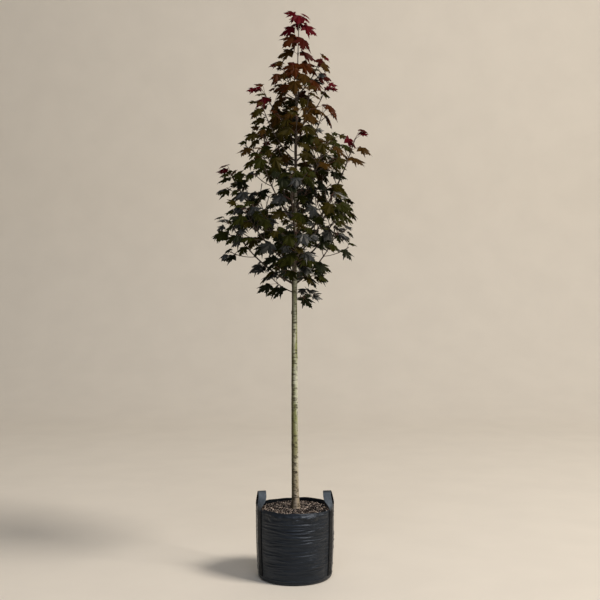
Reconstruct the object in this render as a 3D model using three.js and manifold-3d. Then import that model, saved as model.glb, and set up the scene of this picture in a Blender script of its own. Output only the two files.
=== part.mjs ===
// A young purple-leaved Norway maple, grown as a standard tree in a black woven planting bag.
// Millimetres, +Z up, the front towards -Y. The origin is the centre of the bag's flat underside.
import * as THREE from "three";
import { mergeVertices } from "three/addons/utils/BufferGeometryUtils.js";
import Module from "manifold-3d";

const solids = await Module();
solids.setup();

// Clear gap where one piece meets another
const FIT_GAP = 0.3;

// Planting bag: a slightly tapered drum of woven cloth with a rounded foot edge
const BAG_HEIGHT = 360;
const BAG_RIM_RADIUS = 200;
const BAG_FOOT_RADIUS = 190;
const BAG_TAPER_POWER = 2.5;
const BAG_CORNER = 16;
const BAG_CLOTH = 3;
const BAG_SIDES = 32;
const WALL_LEVELS = 4;
const CORNER_STEPS = 3;

// Bark mulch: a low mound inside the bag, with a flat top round the trunk
const MULCH_DROP = 14;
const MULCH_EDGE_DROP = 6;
const MULCH_FLAT_RADIUS = 70;

// Webbing handles: straps sewn down the wall that rise into a twisted loop
const STRAP_WIDTH = 40;
const STRAP_THICK = 2.4;
const STRAP_FOOT = 24;
const STRAP_ACROSS = 2;
const STRAP_STANDOFF = 0.6;
const HANDLE_RISE = 78;
const HANDLE_SPREAD = 19;
const HANDLE_TWIST = 80;
const LOOP_STEPS = 12;
const HANDLES = [
  { name: "handle_left", bearing: 188, tilt: 11 },
  { name: "handle_right", bearing: 354, tilt: 17 },
];

// Trunk: straight clear stem with a root flare, then the leader through the crown
const GROUND = BAG_HEIGHT - MULCH_DROP;
const CROWN_BASE = 1480;
const TRUNK_TIP = 2520;
const LEADER_TIP = 2860;
const FLARE_RADIUS = 5;
const FLARE_HEIGHT = 38;
const STEM_RADIUS_LOW = 18;
const STEM_RADIUS_HIGH = 13;
const TRUNK_TIP_RADIUS = 3.4;
const TRUNK_SIDES = 10;
const TRUNK_STEPS = 16;
const TRUNK_SWAY = [
  [3, 0],
  [-9, 2],
  [-4, 4],
  [20, 0],
];

// Boughs: opposite pairs up the trunk. Bearings run anticlockwise from +X, seen from above.
// Reach and rise go from a bough's foot on the trunk's axis to its tip.
const PAIRS = [
  { foot: 1500, bearing: 185, sides: ["left", "right"], reach: [315, 215], rise: [285, 255] },
  { foot: 1545, bearing: 272, sides: ["front", "back"], reach: [285, 295], rise: [190, 215] },
  { foot: 1590, bearing: 214, sides: ["left", "right"], reach: [290, 290], rise: [265, 320] },
  { foot: 1640, bearing: 312, sides: ["right", "left"], reach: [275, 270], rise: [275, 290] },
  { foot: 1690, bearing: 174, sides: ["left", "right"], reach: [325, 310], rise: [370, 550] },
  { foot: 1750, bearing: 266, sides: ["front", "back"], reach: [240, 245], rise: [260, 290] },
  { foot: 1820, bearing: 222, sides: ["left", "right"], reach: [220, 220], rise: [300, 320] },
  { foot: 1890, bearing: 316, sides: ["right", "left"], reach: [195, 185], rise: [295, 290] },
  { foot: 1960, bearing: 183, sides: ["left", "right"], reach: [165, 165], rise: [300, 265] },
  { foot: 2050, bearing: 272, sides: ["front", "back"], reach: [165, 165], rise: [265, 270] },
  { foot: 2130, bearing: 205, sides: ["left", "right"], reach: [180, 150], rise: [255, 255] },
  { foot: 2215, bearing: 300, sides: ["right", "left"], reach: [130, 130], rise: [225, 220] },
  { foot: 2295, bearing: 180, sides: ["left", "right"], reach: [160, 140], rise: [180, 185] },
  { foot: 2400, bearing: 262, sides: ["front", "back"], reach: [90, 90], rise: [165, 160] },
  { foot: 2475, bearing: 6, sides: ["right", "left"], reach: [112, 60], rise: [165, 110] },
];
const BOUGH_PAIRS = 9; // the pairs above these are leafy from the trunk outwards
const SPROUTS = [
  { name: "sprout_left", foot: 1455, bearing: 196, reach: 125, rise: 80 },
  { name: "sprout_right", foot: 1425, bearing: 330, reach: 52, rise: 8 },
  { name: "sprout_front", foot: 1530, bearing: 318, reach: 95, rise: 25 },
];
const BEND_OUT = 0.6;
const BEND_UP = 0.3;
const BARE_SHARE = 0.36;
const LONG_BARE_SHARE = 0.5; // the bough that rises furthest is bare for longer
const LONG_RISE = 500;
const BOUGH_RADIUS = 5.6; // at the foot of a bough of this length
const BOUGH_LENGTH = 480;
const BOUGH_THINNING = 0.55;
const BOUGH_SIDES = 5;
const BOUGH_STEPS = 2;
const STEM_TIP_RADIUS = 2;
const TWIG_SIDES = 3;
const STEM_STEPS = 3;

// Shoots: opposite leaves at each node, each pair turned a quarter from the last
const SEED = 13;
const INTERNODE = 88;
const TWIG_LENGTH = 125;
const TWIG_ANGLE = 52;
const TWIG_LIFT = 0.3;
const TWIG_RADIUS = 2.2;
const TWIG_STEPS = 1;
const QUARTER_TURN = 90;
const TIP_SINK = 4;
const PAIR_STEP = 2;

// Leaves: a long stalk and a five-lobed blade that hangs out and down from it
const LEAF_LENGTH = 98;
const STALK_LENGTH = 72;
const STALK_HALF_WIDTH = 1.1;
const STALK_DEPTH = 2.2;
const STALK_FOOT_SHARE = 0.5;
const STALK_ANGLE = 58;
const DROOP = 50;
const DROOP_SPREAD = 26;
const ROLL_SPREAD = 30;
const TURN_SPREAD = 36;
const TIP_LEAF_SHARE = 0.58;
const TOP_LEAF_SHARE = 0.82;
const LIGHT = new THREE.Vector3(0.1, -0.5, 0);
const LEAF_TRIES = 5;
const ROOT_REACH = 16;
// Half outline from stalk to tip, in leaf lengths: along the midrib, across it, and up from it
const LEAF_HALF = {
  basalTip: [0.05, 0.5, -0.1],
  lowSinus: [0.25, 0.34, -0.04],
  sideTip: [0.64, 0.61, -0.2],
  highSinus: [0.52, 0.22, -0.03],
};
const LEAF_TIP = [1, 0, -0.16];

// Finishes
const FINISHES = {
  bag: { color: 0x24272b, roughness: 0.55, metalness: 0 },
  strap: { color: 0x333a42, roughness: 0.65, metalness: 0 },
  mulch: { color: 0x4a382c, roughness: 0.95, metalness: 0 },
  bark: { color: 0x8b8a66, roughness: 0.8, metalness: 0 },
  twig: { color: 0x5d4a44, roughness: 0.7, metalness: 0 },
  leaf: { color: 0x2c2a20, roughness: 0.45, metalness: 0 },
  youngLeaf: { color: 0x5b1d26, roughness: 0.45, metalness: 0 },
};

const UP = new THREE.Vector3(0, 0, 1);
const radians = THREE.MathUtils.degToRad;

function bearingVector(degrees) {
  return new THREE.Vector3(Math.cos(radians(degrees)), Math.sin(radians(degrees)), 0);
}

// A number from 0 to 1 that is always the same for the same keys.
function chance(...keys) {
  const wave = keys.reduce((sum, key, i) => sum + (key + 1) * (12.9898 + 65.243 * i), SEED);
  const scaled = Math.sin(wave) * 43758.5453;
  return scaled - Math.floor(scaled);
}

// A number from -half to half.
function spread(half, ...keys) {
  return (2 * chance(...keys) - 1) * half;
}

// A mesh with only merged positions, each vertex of a primitive moved to its place.
function bend(primitive, place) {
  primitive.deleteAttribute("normal");
  primitive.deleteAttribute("uv");
  const merged = mergeVertices(primitive, 1e-6);
  const position = merged.getAttribute("position");
  for (let i = 0; i < position.count; i++) {
    const moved = place(position.getX(i), position.getY(i) + 0.5, position.getZ(i));
    position.setXYZ(i, moved.x, moved.y, moved.z);
  }
  return merged;
}

function solidOf(geometry) {
  const mesh = new solids.Mesh({
    numProp: 3,
    vertProperties: new Float32Array(geometry.getAttribute("position").array),
    triVerts: new Uint32Array(geometry.index.array),
  });
  return new solids.Manifold(mesh);
}

function geometryOf(solid) {
  const mesh = solid.getMesh();
  const geometry = new THREE.BufferGeometry();
  geometry.setAttribute("position", new THREE.BufferAttribute(mesh.vertProperties, 3));
  geometry.setIndex(new THREE.BufferAttribute(mesh.triVerts, 1));
  return geometry;
}

// The largest body of a solid, so that a loose scrap is dropped.
function mainBody(solid) {
  const bodies = solid.decompose().sort((a, b) => b.volume() - a.volume());
  return bodies[0];
}

// Point, direction and two cross directions at a share of a curve's length.
function frameAt(curve, share, reference) {
  const point = curve.getPointAt(share);
  const along = curve.getTangentAt(share);
  const across = reference.clone().addScaledVector(along, -reference.dot(along)).normalize();
  return { point, along, across, third: across.clone().cross(along) };
}

// A tapering round limb along part of a curve.
function limb(curve, from, to, radiusAt, sides, steps, reference) {
  return bend(new THREE.CylinderGeometry(1, 1, 1, sides, steps), (x, y, z) => {
    const share = THREE.MathUtils.lerp(from, to, y);
    const frame = frameAt(curve, share, reference);
    const radius = radiusAt(share);
    return frame.point.addScaledVector(frame.across, x * radius).addScaledVector(frame.third, z * radius);
  });
}

function lathe(profile, sides) {
  const points = profile.map(([radius, height]) => new THREE.Vector2(radius, height));
  return new THREE.LatheGeometry(points, sides).rotateX(Math.PI / 2);
}

// Planting bag and mulch

function wallRadius(height) {
  const share = 1 - height / BAG_HEIGHT;
  return BAG_RIM_RADIUS - (BAG_RIM_RADIUS - BAG_FOOT_RADIUS) * share ** BAG_TAPER_POWER;
}

function wallHeights() {
  const step = (BAG_HEIGHT - BAG_CORNER) / WALL_LEVELS;
  return Array.from({ length: WALL_LEVELS + 1 }, (_, i) => BAG_CORNER + i * step);
}

function bagGeometry() {
  const flat = wallRadius(BAG_CORNER) - BAG_CORNER;
  const corner = Array.from({ length: CORNER_STEPS }, (_, i) => {
    const angle = (i / CORNER_STEPS) * (Math.PI / 2);
    return [flat + BAG_CORNER * Math.sin(angle), BAG_CORNER * (1 - Math.cos(angle))];
  });
  const outside = wallHeights().map((height) => [wallRadius(height), height]);
  const inside = outside.map(([radius, height]) => [radius - BAG_CLOTH, height]).reverse();
  return lathe([[0, 0], ...corner, ...outside, ...inside, [flat, BAG_CLOTH], [0, BAG_CLOTH]], BAG_SIDES);
}

function mulchGeometry() {
  const clear = BAG_CLOTH + 2 * FIT_GAP;
  const floor = BAG_CLOTH + FIT_GAP;
  const edge = GROUND - MULCH_EDGE_DROP;
  const foot = wallRadius(BAG_CORNER) - BAG_CORNER - clear;
  const wall = [BAG_CORNER, edge].map((height) => [wallRadius(height) - clear, height]);
  const top = [[MULCH_FLAT_RADIUS, GROUND], [0, GROUND]];
  return lathe([[0, floor], [foot, floor], ...wall, ...top], BAG_SIDES);
}

// Handles

// One loop: up the wall on one leg, over in a half ellipse, and down the other leg.
function strapStations({ tilt }) {
  const halfSpan = radians(HANDLE_SPREAD);
  const legs = wallHeights().filter((height) => height > STRAP_FOOT);
  const rising = [STRAP_FOOT, ...legs].map((height) => ({ turn: -halfSpan, height, twist: 0, lean: 0 }));
  const loop = Array.from({ length: LOOP_STEPS - 1 }, (_, i) => {
    const angle = ((i + 1) / LOOP_STEPS) * Math.PI;
    const up = Math.sin(angle);
    const twist = radians(HANDLE_TWIST) * THREE.MathUtils.smoothstep(up, 0, 0.9);
    const lean = (STRAP_WIDTH / 2) * Math.sin(twist) + tilt * up * up;
    return { turn: -halfSpan * Math.cos(angle), height: BAG_HEIGHT + HANDLE_RISE * up, twist, lean };
  });
  const falling = [...rising].reverse().map((station) => ({ ...station, turn: halfSpan }));
  return [...rising, ...loop, ...falling];
}

function handleGeometry(handle) {
  const middle = radians(handle.bearing);
  const stations = strapStations(handle);
  const centreAt = ({ turn, height, lean }) => {
    const wall = wallRadius(Math.min(height, BAG_HEIGHT));
    const radius = wall + STRAP_STANDOFF + STRAP_THICK / 2 - lean;
    return new THREE.Vector3(radius * Math.cos(middle + turn), radius * Math.sin(middle + turn), height);
  };
  const points = stations.map(centreAt);
  const last = stations.length - 1;
  const strap = new THREE.BoxGeometry(1, 1, 1, STRAP_ACROSS, last, 1);
  return bend(strap, (x, y, z) => {
    const i = Math.round(y * last);
    const { turn, twist } = stations[i];
    const along = points[Math.min(i + 1, last)].clone().sub(points[Math.max(i - 1, 0)]).normalize();
    const offset = x * STRAP_WIDTH;
    if (twist === 0) return hugWall(points[i], -Math.sign(turn) * offset, z * STRAP_THICK);
    const slope = handle.tilt / HANDLE_RISE;
    const outward = new THREE.Vector3(Math.cos(middle + turn), Math.sin(middle + turn), slope);
    outward.addScaledVector(along, -outward.dot(along)).normalize();
    const away = outward.clone().cross(along);
    const face = outward.clone().multiplyScalar(Math.cos(twist)).addScaledVector(away, Math.sin(twist));
    const width = along.clone().cross(face);
    return points[i].clone().addScaledVector(width, offset).addScaledVector(face, z * STRAP_THICK);
  });
}

// A point of a strap that lies flat on the round wall: offset goes round it, depth out of it.
function hugWall(centre, offset, depth) {
  const radius = Math.hypot(centre.x, centre.y);
  const angle = Math.atan2(centre.y, centre.x) + offset / radius;
  const out = radius + depth;
  return new THREE.Vector3(out * Math.cos(angle), out * Math.sin(angle), centre.z);
}

// Trunk

const TRUNK_REFERENCE = new THREE.Vector3(1, 0, 0);
const trunkCurve = new THREE.CubicBezierCurve3(
  ...TRUNK_SWAY.map(([x, y], i) => new THREE.Vector3(x, y, THREE.MathUtils.lerp(GROUND, LEADER_TIP, i / 3))),
);

// The share of the trunk's curve at a height. The trunk is so nearly upright that heights run evenly along it.
function trunkShare(height) {
  return (height - GROUND) / (LEADER_TIP - GROUND);
}

function trunkRadius(height) {
  const flare = FLARE_RADIUS * Math.exp(-(height - GROUND) / FLARE_HEIGHT);
  if (height < CROWN_BASE) {
    const share = (height - GROUND) / (CROWN_BASE - GROUND);
    return THREE.MathUtils.lerp(STEM_RADIUS_LOW, STEM_RADIUS_HIGH, share) + flare;
  }
  const share = (height - CROWN_BASE) / (TRUNK_TIP - CROWN_BASE);
  return THREE.MathUtils.lerp(STEM_RADIUS_HIGH, TRUNK_TIP_RADIUS, share);
}

// The trunk, or with some growth the room it needs. Its rings are level, so its foot is a flat cut.
function trunkGeometry(growth = 0) {
  const foot = GROUND + FIT_GAP - growth;
  return bend(new THREE.CylinderGeometry(1, 1, 1, TRUNK_SIDES, TRUNK_STEPS), (x, y, z) => {
    const height = THREE.MathUtils.lerp(foot, TRUNK_TIP, y);
    const radius = trunkRadius(height) + growth;
    return trunkCurve.getPoint(trunkShare(height)).add(new THREE.Vector3(x * radius, -z * radius, 0));
  });
}

// Boughs and shoots

function boughCurve({ foot, bearing, reach, rise }) {
  const start = trunkCurve.getPointAt(trunkShare(foot));
  const outward = bearingVector(bearing);
  const bendPoint = start.clone().addScaledVector(outward, reach * BEND_OUT).addScaledVector(UP, rise * BEND_UP);
  const tip = start.clone().addScaledVector(outward, reach).addScaledVector(UP, rise);
  return new THREE.QuadraticBezierCurve3(start, bendPoint, tip);
}

// Every bough and shoot of the crown: the pairs from the lowest up, then the sprouts.
function crownPlan() {
  const paired = PAIRS.flatMap((pair, tier) =>
    pair.sides.map((side, i) => ({
      name: `${tier + 1}_${side}`,
      foot: pair.foot,
      bearing: pair.bearing + 180 * i,
      reach: pair.reach[i],
      rise: pair.rise[i],
      bare: tier < BOUGH_PAIRS,
    })),
  );
  return [...paired, ...SPROUTS];
}

// A leafy axis: its solid, its curve and what its leaves need to know.
function makeShoot(curve, from, radius, reference, steps, keys) {
  const radiusAt = (share) => THREE.MathUtils.lerp(radius, STEM_TIP_RADIUS, (share - from) / (1 - from));
  const solid = solidOf(limb(curve, from, 1, radiusAt, TWIG_SIDES, steps, reference));
  return { solid, curve, from, steps, reference, keys, length: curve.getLength() };
}

// The frame at a share of a shoot, with its point on the straight axis of that step.
function nodeFrame(shoot, share) {
  const { curve, from, steps } = shoot;
  const step = ((share - from) / (1 - from)) * steps;
  const low = Math.min(Math.floor(step), steps - 1);
  const ends = [low, low + 1].map((i) => curve.getPointAt(from + ((1 - from) * i) / steps));
  return { ...frameAt(curve, share, shoot.reference), point: ends[0].lerp(ends[1], step - low) };
}

// Node shares along a shoot, closer together towards its tip.
function nodeShares(shoot, firstNode) {
  const leafy = shoot.length * (1 - firstNode);
  const count = Math.max(1, Math.round(leafy / INTERNODE));
  const last = 1 - TIP_SINK / shoot.length;
  return Array.from({ length: count + 1 }, (_, i) => last - (last - firstNode) * (1 - i / count) ** 1.15);
}

// The direction out of a shoot at a node, for one of its two opposite sides.
function sideDirection(frame, node, side, keys) {
  const turn = radians(QUARTER_TURN * node + 180 * side + spread(14, ...keys, node, side, 1));
  return frame.across.clone().multiplyScalar(Math.cos(turn)).addScaledVector(frame.third, Math.sin(turn));
}

function sideTwig(parent, share, node, side) {
  const frame = nodeFrame(parent, share);
  const out = sideDirection(frame, node, side, parent.keys);
  const angle = radians(TWIG_ANGLE);
  const way = frame.along.clone().multiplyScalar(Math.cos(angle)).addScaledVector(out, Math.sin(angle));
  const length = TWIG_LENGTH * (1 + spread(0.15, ...parent.keys, node, side, 2));
  const elbow = frame.point.clone().addScaledVector(way, length / 2);
  const tip = frame.point.clone().addScaledVector(way, length).addScaledVector(UP, length * TWIG_LIFT);
  const curve = new THREE.QuadraticBezierCurve3(frame.point, elbow, tip);
  const reference = way.clone().cross(UP).normalize();
  return makeShoot(curve, 0, TWIG_RADIUS, reference, TWIG_STEPS, [...parent.keys, 50 + 2 * node + side]);
}

// Leaves

function leafOutline() {
  const { basalTip, lowSinus, sideTip, highSinus } = LEAF_HALF;
  const right = [basalTip, lowSinus, sideTip, highSinus].map(([u, v, w]) => [u, -v, w]);
  const left = [highSinus, sideTip, lowSinus, basalTip];
  return [...right, LEAF_TIP, ...left];
}

// One closed leaf: a thin folded blade, fanned from its base, running into a three-sided stalk.
function leafGeometry({ foot, base, midrib, normal, length }) {
  const left = normal.clone().cross(midrib);
  const stalk = base.clone().sub(foot).normalize();
  const stalkLeft = UP.clone().cross(stalk).normalize();
  const stalkUp = stalk.clone().cross(stalkLeft);
  const blade = leafOutline().map(([u, v, w]) =>
    base
      .clone()
      .addScaledVector(midrib, u * length)
      .addScaledVector(left, v * length)
      .addScaledVector(normal, w * length),
  );
  const ring = (centre, side, up, share) => [
    centre.clone().addScaledVector(side, -STALK_HALF_WIDTH * share),
    centre.clone().addScaledVector(side, STALK_HALF_WIDTH * share),
    centre.clone().addScaledVector(up, -STALK_DEPTH * share),
  ];
  const points = [...blade, ...ring(base, left, normal, 1), ...ring(foot, stalkLeft, stalkUp, STALK_FOOT_SHARE)];
  const n = blade.length;
  const tip = (n - 1) / 2;
  const [right, leftEdge, keel, footRight, footLeft, footKeel] = [0, 1, 2, 3, 4, 5].map((i) => n + i);
  const faces = [];
  for (let i = 0; i < n - 1; i++) {
    faces.push([i < tip ? right : leftEdge, i, i + 1]);
    faces.push([keel, i + 1, i]);
  }
  faces.push([right, tip, leftEdge], [keel, 0, right], [keel, leftEdge, n - 1]);
  faces.push([right, leftEdge, footLeft], [right, footLeft, footRight]);
  faces.push([leftEdge, keel, footKeel], [leftEdge, footKeel, footLeft]);
  faces.push([keel, right, footRight], [keel, footRight, footKeel]);
  faces.push([footRight, footLeft, footKeel]);
  const geometry = new THREE.BufferGeometry().setFromPoints(points);
  return geometry.setIndex(faces.flat());
}

// Where a leaf's stalk and blade go, from its node's frame and a numbered try.
function leafPlan(shoot, share, node, side, size, attempt) {
  const keys = [...shoot.keys, node, side, 10 * attempt];
  const step = (2 * side - 1) * PAIR_STEP;
  const frame = nodeFrame(shoot, share + step / shoot.length);
  const out = sideDirection(frame, node, side, shoot.keys);
  const angle = radians(STALK_ANGLE + spread(12, ...keys, 3));
  const outward = new THREE.Vector3(frame.point.x, frame.point.y, 0).normalize();
  const stalk = frame.along.clone().multiplyScalar(Math.cos(angle)).addScaledVector(out, Math.sin(angle));
  stalk.addScaledVector(outward, 0.3).addScaledVector(UP, 0.15).normalize();
  const base = frame.point.clone().addScaledVector(stalk, STALK_LENGTH * size * (1 + spread(0.3, ...keys, 4)));
  const heading = new THREE.Vector3(stalk.x, stalk.y, 0).addScaledVector(outward, 0.5).add(LIGHT);
  heading.applyAxisAngle(UP, radians(spread(TURN_SPREAD, ...keys, 5))).normalize();
  const droop = radians(DROOP + spread(DROOP_SPREAD, ...keys, 6));
  const midrib = heading.clone().multiplyScalar(Math.cos(droop)).addScaledVector(UP, -Math.sin(droop));
  const normal = UP.clone().add(LIGHT);
  normal.addScaledVector(midrib, -normal.dot(midrib)).normalize();
  normal.applyAxisAngle(midrib, radians(spread(ROLL_SPREAD, ...keys, 7)));
  return { foot: frame.point, base, midrib, normal, length: LEAF_LENGTH * size };
}

// What is already in place, so that nothing grows into it.
const placed = [];

function place(solid, owner) {
  placed.push({ solid, owner, box: solid.boundingBox() });
}

function boxesMeet(a, b) {
  return [0, 1, 2].every((i) => a.min[i] < b.max[i] && b.min[i] < a.max[i]);
}

// Whether a solid grows into another piece, apart from its own root in its own mass.
function clashes(solid, owner, root) {
  const box = solid.boundingBox();
  return placed.some((other) => {
    if (!boxesMeet(box, other.box)) return false;
    const bite = solid.intersect(other.solid);
    if (bite.isEmpty()) return false;
    if (other.owner !== owner) return true;
    const { min, max } = bite.boundingBox();
    const corners = [new THREE.Vector3(...min), new THREE.Vector3(...max)];
    return corners.some((corner) => corner.distanceTo(root) > ROOT_REACH);
  });
}

// Leaves are smaller on the younger shoots near the top.
function leafShare(foot) {
  return THREE.MathUtils.lerp(1, TOP_LEAF_SHARE, (foot - CROWN_BASE) / (TRUNK_TIP - CROWN_BASE));
}

// The leaves of one shoot that find room, a pair at each node.
function growLeaves(shoot, shares, owner, largest) {
  shares.forEach((share, node) => {
    if (shoot.twigNodes?.includes(node)) return;
    const along = node / Math.max(1, shares.length - 1);
    const size = largest * THREE.MathUtils.lerp(1, TIP_LEAF_SHARE, along ** 2);
    for (const side of [0, 1]) {
      for (let attempt = 0; attempt < LEAF_TRIES; attempt++) {
        const plan = leafPlan(shoot, share, node, side, size, attempt);
        const leaf = solidOf(leafGeometry(plan));
        if (clashes(leaf, owner, plan.foot)) continue;
        place(leaf, owner);
        break;
      }
    }
  });
}

// Assembly

const tree = new THREE.Group();
tree.name = "potted_maple";

function addMesh(name, geometry, finish) {
  const mesh = new THREE.Mesh(geometry, new THREE.MeshStandardMaterial(FINISHES[finish]));
  mesh.name = name;
  tree.add(mesh);
}

addMesh("planting_bag", bagGeometry(), "bag");
addMesh("bark_mulch", mulchGeometry(), "mulch");
for (const handle of HANDLES) addMesh(handle.name, handleGeometry(handle), "strap");
addMesh("trunk", trunkGeometry(), "bark");
place(solidOf(trunkGeometry()), "trunk");

const trunkRoom = solidOf(trunkGeometry(FIT_GAP));
const masses = crownPlan().map((plan, index) => {
  const curve = boughCurve(plan);
  const reference = UP.clone().cross(bearingVector(plan.bearing));
  const length = curve.getLength();
  const bareShare = plan.rise > LONG_RISE ? LONG_BARE_SHARE : BARE_SHARE;
  const split = plan.bare ? bareShare : 0;
  const thick = BOUGH_RADIUS * Math.sqrt(length / BOUGH_LENGTH);
  const radiusAt = (share) => thick * (1 - BOUGH_THINNING * share);
  if (plan.bare) {
    const bough = limb(curve, 0, split, radiusAt, BOUGH_SIDES, BOUGH_STEPS, reference);
    const fitted = mainBody(solidOf(bough).subtract(trunkRoom));
    addMesh(`bough_${plan.name}`, geometryOf(fitted), "twig");
    place(fitted, `bough_${plan.name}`);
  }
  const from = plan.bare ? split + FIT_GAP / length : 0;
  const stem = makeShoot(curve, from, radiusAt(from), reference, STEM_STEPS, [index]);
  if (!plan.bare) stem.solid = mainBody(stem.solid.subtract(trunkRoom));
  return { ...plan, stem, owner: `foliage_${plan.name}` };
});

const leaderFrom = trunkShare(TRUNK_TIP) + FIT_GAP / trunkCurve.getLength();
const leaderKeys = [masses.length];
const leader = makeShoot(trunkCurve, leaderFrom, TRUNK_TIP_RADIUS, TRUNK_REFERENCE, STEM_STEPS, leaderKeys);
masses.push({ name: "leader", stem: leader, owner: "foliage_leader", leader: true });

for (const mass of masses) place(mass.stem.solid, mass.owner);
for (const mass of masses) {
  const first = mass.bare ? mass.stem.from + 0.04 : Math.max(mass.stem.from + 0.02, 0.3);
  mass.shares = nodeShares(mass.stem, mass.leader ? mass.stem.from + 0.01 : first);
  mass.twigs = [];
  mass.stem.twigNodes = [];
  if (!mass.bare) continue;
  const node = 1;
  for (const side of [0, 1]) {
    const twig = sideTwig(mass.stem, mass.shares[node], node, side);
    if (clashes(twig.solid, mass.owner, twig.curve.getPointAt(0))) continue;
    place(twig.solid, mass.owner);
    mass.twigs.push(twig);
  }
  if (mass.twigs.length) mass.stem.twigNodes.push(node);
}
for (const mass of masses) {
  const largest = mass.leader ? 1 : leafShare(mass.foot);
  growLeaves(mass.stem, mass.shares, mass.owner, largest);
  for (const twig of mass.twigs) growLeaves(twig, [0.55, 0.96], mass.owner, 0.9 * largest);
}
for (const mass of masses) {
  const pieces = placed.filter((piece) => piece.owner === mass.owner).map((piece) => piece.solid);
  const fused = mainBody(pieces.reduce((whole, piece) => whole.add(piece)));
  addMesh(mass.owner, geometryOf(fused), mass.leader ? "youngLeaf" : "leaf");
}

export default tree;
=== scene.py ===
"""A young purple-leaved maple, grown as a standard tree in a black woven planting bag.

Metres, +Z up, the front towards -Y. The origin is the centre of the bag's flat underside.
"""

import functools
import math

import bpy
import numpy as np
from bpy.props import FloatProperty, FloatVectorProperty, IntProperty, PointerProperty
from mathutils.bvhtree import BVHTree
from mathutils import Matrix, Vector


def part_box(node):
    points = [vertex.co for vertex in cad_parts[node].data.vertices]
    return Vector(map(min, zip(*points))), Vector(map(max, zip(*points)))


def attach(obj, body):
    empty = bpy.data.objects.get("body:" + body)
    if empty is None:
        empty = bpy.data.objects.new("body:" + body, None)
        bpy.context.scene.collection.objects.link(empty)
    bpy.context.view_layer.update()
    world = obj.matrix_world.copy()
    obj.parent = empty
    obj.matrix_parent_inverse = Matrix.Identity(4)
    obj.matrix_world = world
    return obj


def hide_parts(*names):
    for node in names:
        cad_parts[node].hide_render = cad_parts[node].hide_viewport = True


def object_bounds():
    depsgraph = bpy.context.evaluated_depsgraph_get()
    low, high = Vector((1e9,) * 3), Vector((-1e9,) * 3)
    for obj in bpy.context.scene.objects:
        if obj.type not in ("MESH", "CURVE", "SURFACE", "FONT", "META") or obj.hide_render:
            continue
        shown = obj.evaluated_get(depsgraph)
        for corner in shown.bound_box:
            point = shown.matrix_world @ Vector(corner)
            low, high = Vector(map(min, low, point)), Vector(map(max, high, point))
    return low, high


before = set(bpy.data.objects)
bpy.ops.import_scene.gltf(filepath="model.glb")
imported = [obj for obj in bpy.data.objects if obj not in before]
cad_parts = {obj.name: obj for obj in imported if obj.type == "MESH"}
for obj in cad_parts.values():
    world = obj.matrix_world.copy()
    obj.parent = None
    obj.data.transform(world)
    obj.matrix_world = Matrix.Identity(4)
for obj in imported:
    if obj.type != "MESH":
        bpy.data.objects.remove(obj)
CAD_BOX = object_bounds()

bl_info = {
    "name": "Potted Maple",
    "version": (1, 0, 0),
    "blender": (4, 5, 0),
    "location": "View3D > Sidebar > Potted Maple",
    "description": "A young purple-leaved maple in a woven planting bag",
    "category": "Add Mesh",
}

UP = np.array([0.0, 0.0, 1.0])
LEVEL = np.array([1.0, 1.0, 0.0])
TURN = 2 * math.pi
BODY = "root"

# Planting bag
BAG_HEIGHT = 0.36
BAG_RIM_RADIUS = 0.2
BAG_FOOT_RADIUS = 0.19
BAG_TAPER_POWER = 2.5
BAG_CORNER = 0.016
BAG_CLOTH = 0.003
MULCH_DROP = 0.014
GROUND = BAG_HEIGHT - MULCH_DROP

# Webbing handles
STRAP_FOOT = 0.024
STRAP_STANDOFF = 0.0006
HANDLE_RISE = 0.078
HANDLE_SPREAD = math.radians(19)
HANDLE_TWIST = math.radians(80)
HANDLES = {
    "left": {"bearing": math.radians(188), "tilt": 0.011},
    "right": {"bearing": math.radians(354), "tilt": 0.017},
}

# Trunk
CROWN_BASE = 1.48
TRUNK_TIP = 2.52
LEADER_TIP = 2.86
FLARE_RADIUS = 0.005
FLARE_HEIGHT = 0.038
STEM_RADIUS_LOW = 0.018
STEM_RADIUS_HIGH = 0.013
TRUNK_TIP_RADIUS = 0.0034
TRUNK_SWAY = [(0.003, 0), (-0.009, 0.002), (-0.004, 0.004), (0.02, 0)]

# Boughs: foot, bearing, sides, reach and rise of each opposite pair, then the sprouts
PAIRS = [
    (1.500, 185, ("left", "right"), (0.315, 0.215), (0.285, 0.255)),
    (1.545, 272, ("front", "back"), (0.285, 0.295), (0.190, 0.215)),
    (1.590, 214, ("left", "right"), (0.290, 0.290), (0.265, 0.320)),
    (1.640, 312, ("right", "left"), (0.275, 0.270), (0.275, 0.290)),
    (1.690, 174, ("left", "right"), (0.325, 0.310), (0.370, 0.550)),
    (1.750, 266, ("front", "back"), (0.240, 0.245), (0.260, 0.290)),
    (1.820, 222, ("left", "right"), (0.220, 0.220), (0.300, 0.320)),
    (1.890, 316, ("right", "left"), (0.195, 0.185), (0.295, 0.290)),
    (1.960, 183, ("left", "right"), (0.165, 0.165), (0.300, 0.265)),
    (2.050, 272, ("front", "back"), (0.165, 0.165), (0.265, 0.270)),
    (2.130, 205, ("left", "right"), (0.180, 0.150), (0.255, 0.255)),
    (2.215, 300, ("right", "left"), (0.130, 0.130), (0.225, 0.220)),
    (2.295, 180, ("left", "right"), (0.160, 0.140), (0.180, 0.185)),
    (2.400, 262, ("front", "back"), (0.090, 0.090), (0.165, 0.160)),
    (2.475, 6, ("right", "left"), (0.112, 0.060), (0.165, 0.110)),
]
BOUGH_PAIRS = 9
SPROUTS = [
    ("sprout_left", 1.455, 196, 0.125, 0.080),
    ("sprout_right", 1.425, 330, 0.052, 0.008),
    ("sprout_front", 1.530, 318, 0.095, 0.025),
]
BEND_OUT = 0.6
BEND_UP = 0.3
BARE_SHARE = 0.36
LONG_BARE_SHARE = 0.5
LONG_RISE = 0.5
BOUGH_RADIUS = 0.0056
BOUGH_LENGTH = 0.48
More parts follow.
